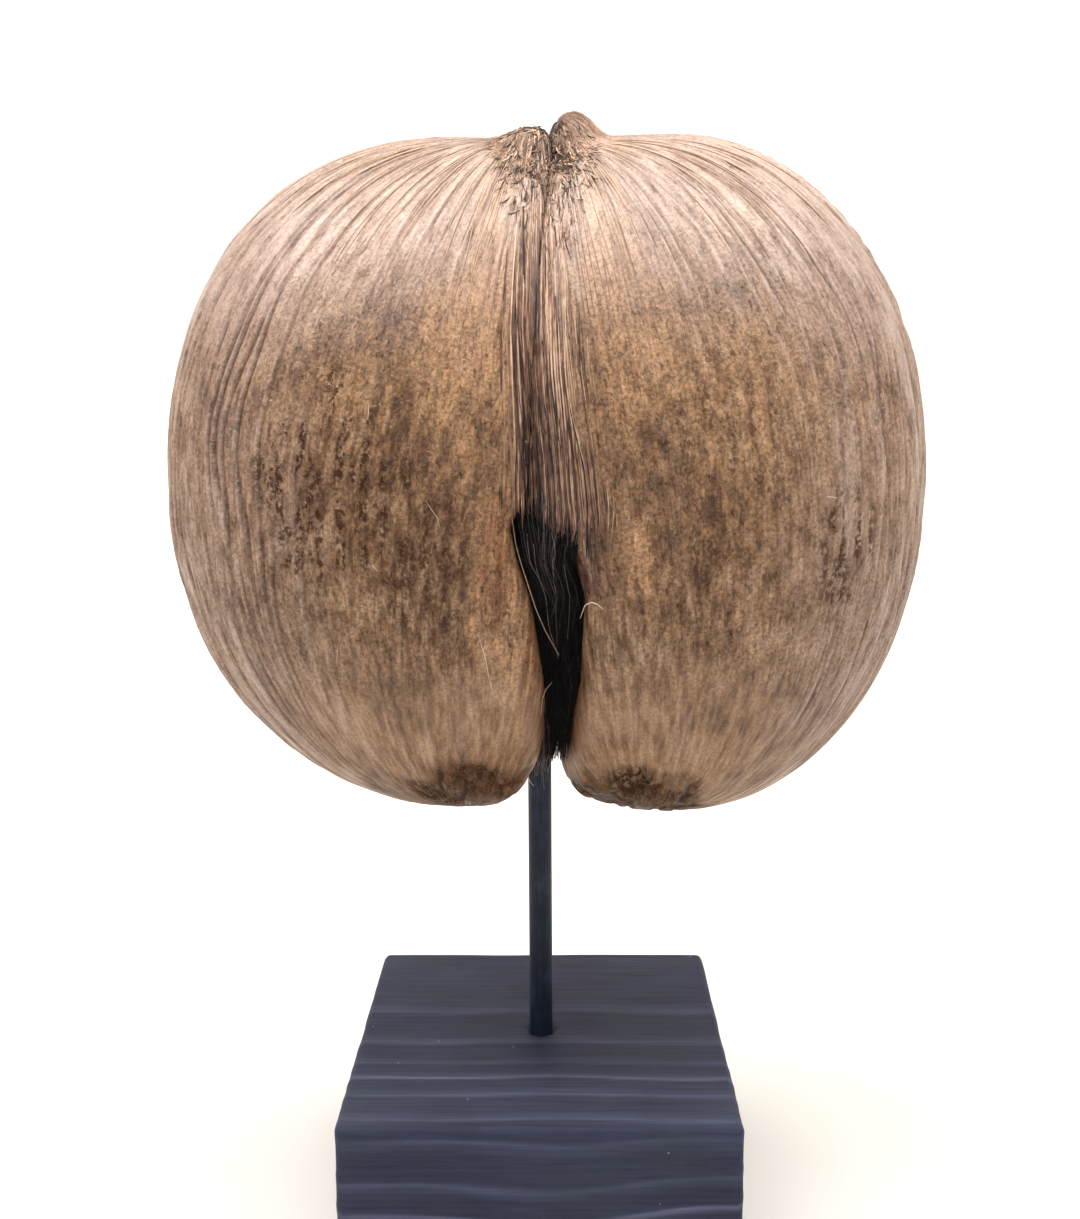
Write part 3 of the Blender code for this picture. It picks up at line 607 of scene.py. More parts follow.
def makeLobe(name, lobe, material):
    # a grid of fibres by places along each, cast onto the lobe's field and then raised by the relief:
    # ridges and furrows where stretched noise crosses its middle, pits in rows, wrinkles and lumps
    columns, rows, side = body["columns"], body["rows"], lobe["side"]
    eye = lobeEye(lobe)
    # columns stand closer on the outside and the front, where they are seen
    angle = 2 * math.pi * np.arange(columns) / columns
    turn = angle + 0.30 * np.sin(angle) - side * 0.32 * (np.cos(angle) - 1.0)
    share = np.arange(1, rows) / rows
    share = share - 0.055 * np.sin(2 * math.pi * share)
    turnGrid, shareGrid = np.meshgrid(turn, share)
    directions = fibreDirections(lobe, eye, turnGrid, shareGrid)
    points = eye + directions * lobeReach(lobe, directions)[..., None]
    ends = fibreDirections(lobe, eye, np.zeros(2), np.array((0.0, 1.0)))
    poles = eye + ends * lobeReach(lobe, ends)[..., None]
    # the surface's normal, from its neighbours round and along
    first, last = [np.broadcast_to(pole, (1, columns, 3)) for pole in poles]
    padded = np.concatenate((first, points, last))
    downward = padded[2:] - padded[:-2]
    sideways = np.roll(points, -1, axis=1) - np.roll(points, 1, axis=1)
    normal = np.cross(downward, sideways)
    normal /= np.linalg.norm(normal, axis=-1, keepdims=True) + 1e-12
    normal *= np.sign(np.sum(normal * directions, axis=-1, keepdims=True))
    x, y, z = points[..., 0], points[..., 1], points[..., 2]
    seed = lobe["seed"]
    girth = body["perimeter"] * 1000
    across = turnGrid / (2 * math.pi) * girth     # mm, the same at every height
    lengthways = shareGrid * body["length"] * 1000
    sway = smoothNoise(across / 26.0, lengthways / 38.0, seed=seed + 90, wrap=20) - 0.5

    def streaks(width, length, number, warp=1.6, shift=0.0):
        # noise drawn out along the fibres, 0 to 1
        cells = int(round(girth / width))
        bent = (across + shift) / girth * cells + warp * sway
        return smoothNoise(bent, lengthways / length, seed=seed + number, wrap=cells)

    def line(width, length, number, shift=0.0):
        # thin lines where that noise crosses its middle, 0 to 1
        return smoothStep(0.82, 0.98, 1.0 - np.abs(2.0 * streaks(width, length, number, 1.2, shift) - 1.0))

    frontal = smoothStep(*zones["frontal"], y)
    face = smoothStep(*zones["face"], y)
    middleZone = smoothStep(*zones["middleTop"], z) * smoothStep(*zones["middleFoot"], z)
    lowZone = smoothStep(*zones["low"], z)
    topZone = smoothStep(*zones["top"], z)
    flank = smoothStep(*zones["flank"], np.abs(x - 0.004))
    fromCrown = np.linalg.norm((points - relief["crownPoint"]) / np.array(relief["crownRadius"]), axis=-1)
    crownZone = smoothStep(1.30, 0.75, fromCrown + 0.8 * (cloudNoise(points, 0.010, seed + 5) - 0.5))
    knob = smoothStep(*zones["knobSide"], x) * smoothStep(*zones["knobFoot"], z)
    knob = knob * smoothStep(1.9, 1.4, fromCrown)
    crownDark = crownZone * (1.0 - 0.85 * knob)
    fromScar = np.linalg.norm((points - lobe["scar"]) / np.array(relief["scarRadius"]), axis=-1)
    scar = smoothStep(1.24, 0.66, fromScar + 1.2 * (cloudNoise(points, relief["scarRagged"], seed + 7) - 0.5))
    leftWall, rightWall = cleftWalls(y, z)
    fromWall = (x - rightWall) if side > 0 else (leftWall - x)

    patches = smoothStep(0.35, 0.6, cloudNoise(points, 0.040, seed + 11))
    strength = (0.06 + 0.80 * topZone + 0.95 * flank + 0.18 * lowZone) * mix(0.45, 1.0, patches)
    strength = np.clip(strength, 0, 1)
    bandReach = smoothStep(0.030, 0.006, np.abs(x - along(frontBand["right"], z) / 2))
    combed = 0.28 * middleZone + 0.25 * topZone + 0.40 * flank * patches
    combed = combed + bandReach * smoothStep(0.14, 0.17, z)
    combed = np.clip(combed, 0.10, 1)
    ridge = line(relief["ridgeMm"], relief["ridgeLengthMm"], 1) * strength
    furrow = line(relief["ridgeMm"], relief["ridgeLengthMm"], 1, 1.1) * strength
    fine = streaks(relief["fineMm"], relief["fineLengthMm"], 2, 3.0) - 0.5
    thread = streaks(relief["threadMm"], 16.0, 6, 3.0) - 0.5
    fold = cloudNoise(points, 0.009, seed + 37)
    chain = smoothStep(0.50, 0.70, streaks(relief["chainMm"], relief["chainLengthMm"], 3, 2.0))
    beads = smoothStep(0.38, 0.62, streaks(relief["pitMm"], relief["pitLengthMm"], 4, 3.0))
    rowPlace = across / relief["rowMm"] + 1.3 * sway
    rowPlace = rowPlace + 0.5 * smoothNoise(across / 17.0, lengthways / 26.0, seed=seed + 61)
    pitRows = smoothStep(0.42, 0.70, 1.0 - np.abs(2.0 * (rowPlace - np.floor(rowPlace)) - 1.0))
    pitted = patchSum(pitPatches, x, z, 0.9 * (fold - 0.5)) * frontal
    scattered = smoothStep(0.45, 0.62, cloudNoise(points, 0.034, seed + 17))
    pitted = np.maximum(pitted, 0.30 * middleZone * scattered)
    pit = chain * beads * mix(0.06, 1.0, pitted) * (1.0 - crownZone) * (1.0 - scar)
    pit = np.maximum(pit, 0.7 * crownDark * smoothStep(0.50, 0.66, cloudNoise(points, 0.004, seed + 53, 2)))
    lumps = cloudNoise(points, relief["lumpSize"], seed + 19, 4) - 0.5
    squeezed = points * np.array(relief["wrinkleSqueeze"])
    wrinkles = 1.0 - np.abs(2.0 * cloudNoise(squeezed, relief["wrinkleSize"], seed + 23, 2) - 1.0)
    rough = cloudNoise(points, 0.0042, seed + 29, 2) - 0.5
    height = relief["ridgeHeight"] * (ridge - 0.8 * furrow)
    height = height + (relief["fineHeight"] * fine * 2 + relief["threadHeight"] * thread) * combed
    height = height - relief["pitDepth"] * pit
    height = height + relief["lumpHeight"] * lumps * 2 * (1.0 - crownZone)
    height = height - relief["scarHeight"] * smoothStep(0.60, 0.95, wrinkles) * scar
    height = height + relief["crownHeight"] * rough * 2 * crownZone
    bandLeft = along(frontBand["left"], z)
    bandRight = along(frontBand["right"], z)
    # it is flatter under the band's strands
    banded = smoothStep(bandLeft - 0.005, bandLeft + 0.001, x) * smoothStep(bandRight + 0.007, bandRight, x)
    banded = banded * smoothStep(0.205, 0.225, z) * smoothStep(0.345, 0.330, z)
    height = height * (1.0 - 0.75 * banded)
    openSide = smoothStep(0.0005, 0.004, fromWall)
    points = points + normal * (height * mix(0.2, 1.0, openSide))[..., None]

    # what the husk's material reads at each point
    ragged = 0.9 * (fold - 0.5) + 0.5 * (streaks(3.0, 24.0, 8) - 0.5)
    ochre = np.maximum(patchSum(ochrePatches, x, z, ragged) * face, 0.5 * knob)
    rust = patchSum(rustPatches, x, z, 0.6 * ragged) * smoothStep(0.02, -0.02, y)
    edge = smoothStep(0.0035, 0.0005, fromWall + 0.003 * ragged)
    edge = edge * smoothStep(0.232, 0.220, z) * smoothStep(0.118, 0.140, z)
    red = np.maximum(patchSum(redPatches, x, z, ragged) * face, 0.55 * edge * smoothStep(0.03, -0.02, y))
    rust = np.maximum(rust, 0.5 * edge * (side < 0))
    soot = patchSum(sootPatches, x, z, 0.50 * ragged) * face
    blotches = cloudNoise(points, 0.024, seed + 41, 4)
    umber = patchSum(umberPatches, x, z, ragged) * face * smoothStep(0.32, 0.56, blotches)
    umber = np.maximum(umber, (0.45 if side < 0 else 0.15) * middleZone * smoothStep(0.42, 0.60, blotches))
    umber = np.maximum(umber, 0.60 * crownDark * smoothStep(0.35, 0.6, cloudNoise(points, 0.006, seed + 43)))
    # the scars' wrinkle grooves are painted dark too, as the shade in them
    pit = np.maximum(pit, 0.9 * scar * smoothStep(0.74, 0.92, wrinkles))
    pitted = pitted * mix(0.10, 1.0, pitRows) * (1.0 - crownZone) * (1.0 - scar)
    # dry fibre, partly painted highlight: the top, the outer flanks and the raised ridges are painted paler,
    # as where light falls on them
    dusty = 0.90 * smoothStep(0.262, 0.330, z) + 0.95 * ridge + 0.42 * flank
    dusty = np.clip(dusty * (1.0 - 0.85 * crownDark) * (1.0 - scar) * (1.0 - 0.5 * umber), 0, 0.95)
    # the skin under the band, front and back, is partly its own darker tone and partly painted shade in the
    # gaps between the strands
    band = smoothStep(bandLeft - 0.002, bandLeft + 0.004, x)
    band = band * smoothStep(bandRight + 0.003, bandRight - 0.007, x + 0.004 * (ragged - 0.2))
    band = band * face * mix(0.92, 0.10, smoothStep(0.262, 0.322, z)) * smoothStep(0.204, 0.224, z)
    backLeft = along(backBand["left"], z)
    backRight = along(backBand["right"], z)
    behind = smoothStep(backLeft - 0.002, backLeft + 0.001, x)
    behind = behind * smoothStep(backRight + 0.004, backRight - 0.001, x)
    band = np.maximum(band, 0.8 * behind * smoothStep(0.02, 0.05, y) * smoothStep(0.190, 0.205, z))
    values = {
        "ochre": ochre, "umber": umber, "red": red, "rust": rust, "soot": soot, "dusty": dusty, "band": band,
        "scar": scar, "pit": pit, "pitted": pitted, "combed": combed, "leather": lowZone,
        # painted shade in the furrows beside the ridges
        "furrow": 0.80 * np.clip(furrow - ridge, 0, 1),
    }
    values = {key: np.concatenate((np.ravel(v), (v[0].mean(), v[-1].mean()))) for key, v in values.items()}

    vertices = np.concatenate((points.reshape(-1, 3), poles))
    vertices[:, 2] += blockTop
    quads = ringQuads(rows - 1, columns)[:, (0, 3, 2, 1)]
    spin = np.arange(columns)
    turned = (spin + 1) % columns
    ringCount = (rows - 1) * columns
    last = (rows - 2) * columns
    topFan = np.stack((np.full(columns, ringCount), spin, turned), -1)
    lowFan = np.stack((np.full(columns, ringCount + 1), last + turned, last + spin), -1)
    # u and v for each corner, so that the seam's last column ends at the full turn
    fullTurn = np.append(turn, 2 * math.pi) / (2 * math.pi) * body["perimeter"]
    distance = share * body["length"]
    row, col = np.meshgrid(np.arange(rows - 2), np.arange(columns), indexing="ij")
    cornerCol = np.stack((col, col, col + 1, col + 1), -1).reshape(-1, 4)
    cornerRow = np.stack((row, row + 1, row + 1, row), -1).reshape(-1, 4)
    uvQuads = np.stack((fullTurn[cornerCol], distance[cornerRow]), -1).reshape(-1, 2)
    fanU = np.stack((fullTurn[spin], fullTurn[spin], fullTurn[spin + 1]), -1)
    lowU = np.stack((fullTurn[spin], fullTurn[spin + 1], fullTurn[spin]), -1)
    topV = np.tile((0.0, distance[0], distance[0]), (columns, 1))
    lowV = np.tile((body["length"], distance[-1], distance[-1]), (columns, 1))
    uvFans = np.concatenate((np.stack((fanU, topV), -1), np.stack((lowU, lowV), -1))).reshape(-1, 2)
    faces = [quads, np.concatenate((topFan, lowFan))]
    return newPiece(name, vertices, faces, material, values, np.concatenate((uvQuads, uvFans)))


huskSkin = huskMaterial()
leftHusk = makeLobe("leftLobeHusk", leftLobe, huskSkin)
makeLobe("rightLobeHusk", rightLobe, huskSkin)
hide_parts("seed")
print("lobes made")


cordStops = ((0.0, "1b1112"), (0.25, "402c28"), (0.50, "785a49"), (0.78, "b08d74"), (1.0, "d2b59e"))


def surfaceDepth(face, x, z):
    # y of the seed's surface in front (face -1) or behind (face 1)
    start = np.stack((x, np.zeros_like(x), z), axis=-1)
    directions = np.zeros_like(start)
    directions[..., 1] = face
    return face * cast(start, directions, fusedField, 0.130)


def makeBand(name, band, material):
    # thin tubes that hang from the crown over the surface, each from its own place across the band
    chance = np.random.default_rng(band["seed"])
    count, length, face = band["count"], band["points"], band["face"]
    # crowded in the middle and sparse at the sides
    across = np.clip(chance.normal(0.46, 0.27, count), -0.14, 1.12)
    stray = np.arange(count) >= 0.90 * count
    across = np.where(stray, 1.0 + band["spill"] * np.abs(across) ** 1.5, across)
    low = along(band["bottom"], across) + 0.0035 * chance.normal(0, 1, count)
    # about half of them hang to the lower end, and the rest are broken off before it
    begin = mix(band["top"], low + 0.030, chance.uniform(0, 1, count) ** 1.2) - 0.03 * stray
    end = np.maximum(begin - mix(*band["length"], chance.uniform(0, 1, count) ** 1.6), low)
    end = np.where((chance.uniform(0, 1, count) < 0.45) & (begin < 0.300), low, end)
    t = np.linspace(0, 1, length)
    z = mix(begin[:, None], end[:, None], t)
    number = np.arange(count)[:, None]
    wander = smoothNoise(z * 30.0, number * 0.37, seed=band["seed"]) - 0.5
    x = mix(along(band["left"], z), along(band["right"], z), across[:, None] + 0.14 * wander)
    held = surfaceDepth(face, x[:, :1], np.full((count, 1), band["fusedAbove"]))
    # a strand follows the surface, but over the mouth it only sinks a little
    below = band["fusedAbove"] - z
    hung = face * held - np.where(below > 0, 0.16 * below, 1.0)
    y = face * np.maximum(face * surfaceDepth(face, x, z), hung)
    thick = mix(*band["radius"], chance.uniform(0, 1, count) ** 1.7)[:, None]
    swell = 0.70 + 0.6 * smoothNoise(z * 90.0, number * 1.3, seed=band["seed"] + 1)
    radii = thick * swell * mix(0.2, 1.0, np.minimum(smoothStep(0, 0.12, t), smoothStep(1, 0.85, t)))
    radii = radii * mix(1.0, 0.70, smoothStep(0.270, 0.325, z))
    sunk = smoothStep(0.14, -0.04, across) + smoothStep(0.84, 1.02, across)
    lift = chance.uniform(-0.4, 1.1, count)[:, None]
    lift = lift + 0.7 * (smoothNoise(z * 60.0, number * 2.1, seed=8) - 0.5)
    y = y + face * (lift - 0.7 * sunk[:, None]) * thick
    points, faces = tubes(np.stack((x, y, z + blockTop), axis=-1), radii, band["sides"])
    height = points[..., 2] - blockTop
    # strands are paler near the crown and at the sides, and darken towards their lower ends
    across = across[:, None]
    core = smoothStep(0.02, 0.16, across) * smoothStep(0.80, 0.52, across)
    lower = smoothStep(0.315, 0.265, height)
    border = smoothStep(0.08, -0.02, across) + smoothStep(0.90, 1.02, across) * smoothStep(1.30, 1.10, across)
    own = np.minimum(chance.normal(0, 1, count)[:, None], 2.0 - 1.6 * np.clip(border, 0, 1))
    shade = 0.70 + 0.28 * own - (0.04 + 0.18 * core + 0.04 * border) * lower
    shade = shade - 0.10 * smoothStep(0.275, 0.250, height)
    shade = shade * mix(band["mouthShade"], 1.0, smoothStep(0.203, 0.230, height))
    grey = smoothStep(0.30, 0.38, across) * smoothStep(0.54, 0.48, across)
    grey = grey * chance.uniform(0, 1, (count, 1)) ** 0.6
    belt = smoothStep(0.276, 0.292, height) * smoothStep(0.322, 0.306, height) * (face < 0)
    shade = shade - 0.30 * grey * belt
    values = {"shade": np.clip(shade, 0.02, 1), "cool": 0.35 * grey * belt}
    return newPiece(name, points, faces, material, values)


cordFibre = strandMaterial("weatheredBandFibre", cordStops, 0.55)
makeBand("frontBandStrands", frontBand, cordFibre)
makeBand("backBandStrands", backBand, cordFibre)
print("bands made")


# strands that fan out from the crown over both lobes, and broken bristles on the crown

fan = {"count": 110, "points": 26, "sides": 4, "seed": 17, "radius": (0.00009, 0.00028)}
crown = {
    "count": 1700, "points": 6, "sides": 4, "seed": 21,
    "centre": (0.0035, -0.0365), "radius": (0.0180, 0.0310),
    "length": (0.0018, 0.0065), "thick": (0.00012, 0.00038),
    "castFrom": 0.285, "castReach": 0.100,   # heights from which the surface above is looked for
}


def makeFan(lobe, material):
    # thin tubes along the lobe's own fibres, half sunk in its surface
    chance = np.random.default_rng(fan["seed"] + lobe["seed"])
    count, side = fan["count"], lobe["side"]
    eye = lobeEye(lobe)
    # the front is a quarter turn from the inner wall, and strands crowd towards the cleft
    turn = -side * (math.pi / 2 + chance.uniform(-0.75, 1.5, count))
    start = 0.012 + 0.10 * chance.uniform(0, 1, count) ** 1.5
    end = start + chance.uniform(0.03, 0.26, count)
    share = mix(start[:, None], end[:, None], np.linspace(0, 1, fan["points"]))
    sway = 0.03 * (smoothNoise(share * 14.0, np.arange(count)[:, None] * 0.7, seed=12) - 0.5)
    directions = fibreDirections(lobe, eye, turn[:, None] + sway, share)
    reach = lobeReach(lobe, directions)
    thick = mix(*fan["radius"], chance.uniform(0, 1, count) ** 1.6)[:, None]
    radii = thick * mix(0.2, 1.0, np.sin(np.linspace(0.1, 3.04, fan["points"])))
    lift = chance.uniform(-0.6, 0.5, count)[:, None] * thick
    paths = eye + directions * (reach + lift)[..., None]
    # they thin out at the cleft's edge
    wall = cleftWalls(paths[..., 1], paths[..., 2])[(side + 1) // 2]
    radii = radii * mix(0.3, 1.0, smoothStep(0.0, 0.002, np.abs(paths[..., 0] - wall)))
    paths[..., 2] += blockTop
    shade = np.clip(0.78 + 0.18 * chance.normal(0, 1, count), 0.05, 1)
    name = "leftFanStrands" if side < 0 else "rightFanStrands"
    newStrands(name, paths, radii, fan["sides"], material, shade)


def makeCrown(material):
    # each bristle lies along the surface, away from the crown and down the front, its tip lifted
    chance = np.random.default_rng(crown["seed"])
    count = crown["count"]
    turn = chance.uniform(0, 2 * math.pi, count)
    spread = np.sqrt(chance.uniform(0, 1, count)) ** 1.3
    x = crown["centre"][0] + crown["radius"][0] * spread * np.cos(turn)
    y = crown["centre"][1] + crown["radius"][1] * spread * np.sin(turn)
    out = np.stack((x - 0.003, y + 0.012), -1) / 0.02
    out[:, 1] -= 0.35
    out = out + 0.33 * chance.normal(0, 1, (count, 2))
    out /= np.linalg.norm(out, axis=-1, keepdims=True)
    length = mix(*crown["length"], chance.uniform(0, 1, count) ** 1.6)[:, None]
    t = np.linspace(0, 1, crown["points"])[None]
    curl = 0.30 * chance.normal(0, 1, (count, 1)) * length * t * t
    px = x[:, None] + out[:, :1] * length * t - out[:, 1:] * curl
    py = y[:, None] + out[:, 1:] * length * t + out[:, :1] * curl
    start = np.stack((px, py, np.full_like(px, crown["castFrom"])), -1)
    up = np.zeros_like(start)
    up[..., 2] = 1.0
    pz = crown["castFrom"] + cast(start, up, fusedField, crown["castReach"])
    lift = chance.uniform(0.0, 0.30, count)[:, None] * length * t ** 1.5
    thick = mix(*crown["thick"], chance.uniform(0, 1, count) ** 2)[:, None]
    radii = thick * (1.0 - 0.7 * t ** 2)
    paths = np.stack((px, py, pz + lift - 0.0002 + blockTop), -1)
    middle = smoothStep(1.1, 0.5, spread)
    dark = chance.uniform(0, 1, count) < mix(0.28, 0.62, middle)
    shade = np.where(dark, chance.uniform(0.0, 0.32, count), chance.uniform(0.45, 1.0, count))
    newStrands("crownBristles", paths, radii, crown["sides"], material, np.clip(shade, 0.02, 1))


fanStops = ((0.0, "4b3426"), (0.45, "8a6b53"), (0.8, "b3957c"), (1.0, "cdb39c"))
fanFibre = strandMaterial("raisedHuskFibre", fanStops, 0.5)
makeFan(leftLobe, fanFibre)
makeFan(rightLobe, fanFibre)
crownStops = ((0.0, "1a0f0b"), (0.35, "4a3125"), (0.65, "8f6f58"), (1.0, "d3b59b"))
makeCrown(strandMaterial("brokenCrownFibre", crownStops, 0.6))
print("crown made")


# the tuft of black fibre in the cleft's mouth

tuft = {
    "count": 900, "veil": 300, "points": 12, "sides": 4, "seed": 33,
    "top": (0.232, 0.214), "bottom": (0.131, 0.030),
    "face": ((0.125, -0.050), (0.165, -0.069), (0.200, -0.079), (0.217, -0.083), (0.235, -0.086)),
    "depth": 0.012,
    "radius": (0.00010, 0.00026),
    "pale": 36, "brown": 50,      # lighter strands that run over the black, and brown ones above the bar
    "coreGrid": (90, 64), "coreHeights": (0.224, 0.138),
}


def tuftFace(z):
    return along(tuft["face"], z)


def makeTuftHair(material):
    # thin tubes that hang from wall to wall of the mouth and wander sideways as they fall
    chance = np.random.default_rng(tuft["seed"])
    count, length = tuft["count"], tuft["points"]
    across = chance.uniform(0, 1, count)[:, None]
    layer = chance.uniform(0, 1, count)[:, None] ** 1.5
    top = mix(tuft["top"][0], tuft["top"][1], across) - 0.018 * chance.uniform(0, 1, count)[:, None]
    bottom = tuft["bottom"][0] + tuft["bottom"][1] * chance.uniform(0, 1, count)[:, None] ** 1.5
    t = np.linspace(0, 1, length)[None]
    z = mix(top, bottom, t)
    number = np.arange(count)[:, None]
    y = tuftFace(z) + tuft["depth"] * layer + 0.0030 * (smoothNoise(z * 60.0, number * 1.7, seed=3) - 0.5)
    # its upper ends lie behind the band's
    y = y + 0.0014 * smoothStep(0.211, 0.218, z)
    leftWall, rightWall = cleftWalls(y, np.minimum(z, 0.2135))
    wander = 0.55 * (smoothNoise(z * 38.0, number * 0.9, seed=4) - 0.5)
    x = mix(leftWall - 0.0006, rightWall + 0.0006, np.clip(across + wander * smoothStep(0, 0.3, t), 0.0, 1.0))
    radii = mix(*tuft["radius"], chance.uniform(0, 1, count)[:, None] ** 2) * (1.0 - 0.6 * t)
    # more of it hangs over the rim of the right lobe, out of the band
    veil = tuft["veil"]
    begin = mix(-0.0045, 0.0140, chance.uniform(0, 1, (veil, 1)))
    z2 = mix(mix(0.2225, 0.2135, smoothStep(-0.004, 0.006, begin)) + 0.0030 * chance.normal(0, 1, (veil, 1)),
             mix(0.207, 0.190, chance.uniform(0, 1, (veil, 1))), t)
    x2 = mix(begin, 0.0045 + 0.62 * (begin - 0.0045), t)
    x2 = x2 + 0.0010 * (smoothNoise(z2 * 90.0, np.arange(veil)[:, None] * 1.3, seed=19) - 0.5)
    y2 = np.minimum(surfaceDepth(-1, x2, z2), tuftFace(z2))
    y2 = y2 - 0.0002 - 0.0003 * chance.uniform(0, 1, (veil, 1))
    radii2 = mix(*tuft["radius"], chance.uniform(0, 1, (veil, 1)) ** 2) * (1.0 - 0.6 * t)
    paths = np.concatenate((np.stack((x, y, z + blockTop), -1), np.stack((x2, y2, z2 + blockTop), -1)))
    radii = np.concatenate((radii, radii2))
    # a few hairs are lighter: painted glints on the black hair
    shade = 0.9 * chance.uniform(0, 1, len(paths)) ** 6
    return newStrands("tuftHair", paths, radii, tuft["sides"], material, shade)


def makeTuftOver(material):
    # lighter strands come down out of the band and draw together over the black
    chance = np.random.default_rng(tuft["seed"] + 1)
    count, length = tuft["pale"], 18
    across = (np.arange(count) + chance.uniform(0, 1, count))[:, None] / count
    top = mix(0.230, 0.222, across) + 0.003 * chance.normal(0, 1, (count, 1))
    bottom = mix(0.206, 0.172, chance.uniform(0, 1, (count, 1)) ** 1.8)
    t = np.linspace(0, 1, length)[None]
    z = mix(top, bottom, t)
    leftWall, rightWall = cleftWalls(tuftFace(z), np.minimum(z, 0.2080))
    number = np.arange(count)[:, None]
    wander = 0.36 * (smoothNoise(z * 75.0, number * 0.9, seed=14) - 0.5)
    drawn = mix(across, 0.55, 0.55 * t) + wander * t
    x = mix(leftWall - 0.001, rightWall + 0.001, drawn)
    y = tuftFace(z) + mix(0.0022, -0.0010, smoothStep(0.0, 0.35, t))
    y = y - 0.0008 * chance.uniform(0, 1, (count, 1))
    thick = mix(0.00007, 0.00022, chance.uniform(0, 1, count)[:, None] ** 2)
    radii = thick * mix(1.0, 0.25, t)
    low = tuft["brown"]
    # short brown ends hang where the tuft meets the bar
    z2 = mix(0.150 + 0.007 * chance.normal(0, 1, (low, 1)), 0.122 + 0.006 * chance.normal(0, 1, (low, 1)), t)
    x2 = 0.0005 + 0.0042 * chance.uniform(-1, 1, (low, 1)) * mix(1.0, 0.75, t)
    x2 = x2 + 0.0012 * (smoothNoise(z2 * 160.0, np.arange(low)[:, None] * 1.9, seed=15) - 0.5)
    y2 = mix(-0.0115, tuftFace(z2) - 0.0008, smoothStep(0.108, 0.138, z2))
    y2 = y2 + 0.003 * chance.uniform(0, 1, (low, 1))
    radii2 = mix(0.00014, 0.00034, chance.uniform(0, 1, (low, 1))) * mix(1.0, 0.4, t)
    paths = np.concatenate((np.stack((x, y, z + blockTop), -1), np.stack((x2, y2, z2 + blockTop), -1)))
    radii = np.concatenate((radii, radii2))
    # the pale strands' lighter, cooler grey is partly their own and partly painted glints over the black
    shade = np.concatenate((0.85 * chance.uniform(0, 1, count) ** 2.2, chance.uniform(0.15, 0.70, low)))
    cool = shade * np.concatenate((np.full(count, 0.5), np.zeros(low)))
    newStrands("tuftOverStrands", paths, radii, tuft["sides"], material, shade, cool)


def makeTuftCore(material):
    # a closed curtain behind the hair, wall to wall, ridged like matted strands
    levels, sections = tuft["coreGrid"]
    z = np.linspace(*tuft["coreHeights"], levels)[:, None]
    angle = np.arange(sections)[None] / sections * 2 * math.pi
    depth = 0.005 * smoothStep(0.0, 0.12, np.linspace(0, 1, levels))[:, None]
    y = tuftFace(z) + 0.0085 - depth * np.sin(angle)
    leftWall, rightWall = cleftWalls(tuftFace(z) + 0.004, np.minimum(z, 0.2135))
    half = (rightWall - leftWall) / 2 + 0.0012
    taper = np.minimum(smoothStep(0.226, 0.215, z), smoothStep(0.137, 0.150, z)) ** 0.5
    x = (leftWall + rightWall) / 2 + half * np.cos(angle) * taper
    strand = smoothNoise(x / 0.0009, z / 0.012, seed=8) - 0.5
    y = y - 0.0014 * strand * np.sin(angle)
    points = np.stack(np.broadcast_arrays(x, y, z + blockTop), -1)
    ends = np.stack((points[0].mean(0), points[-1].mean(0)))
    spin = np.arange(sections)
    turned = (spin + 1) % sections
    last = (levels - 1) * sections
    total = levels * sections
    fans = np.concatenate((np.stack((np.full(sections, total), turned, spin), -1),
                           np.stack((np.full(sections, total + 1), last + spin, last + turned), -1)))
    vertices = np.concatenate((points.reshape(-1, 3), ends))
    black = np.zeros(len(vertices))
    faces = [ringQuads(levels, sections), fans]
    newPiece("tuftCore", vertices, faces, material, {"shade": black, "cool": black})


tuftStops = ((0.0, "050405"), (0.45, "0b0a0b"), (0.8, "201d1e"), (1.0, "4c4543"))
tuftFibre = strandMaterial("blackHuskHair", tuftStops, 0.6, 0.18)
tuftPiece = makeTuftHair(tuftFibre)
makeTuftCore(tuftFibre)
overStops = ((0.0, "1b1719"), (0.45, "43322b"), (0.75, "6e5647"), (1.0, "9b8a7d"))
makeTuftOver(strandMaterial("greyBrownHuskHair", overStops, 0.55, 0.3))
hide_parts("fibre_tuft")
print("tuft made")


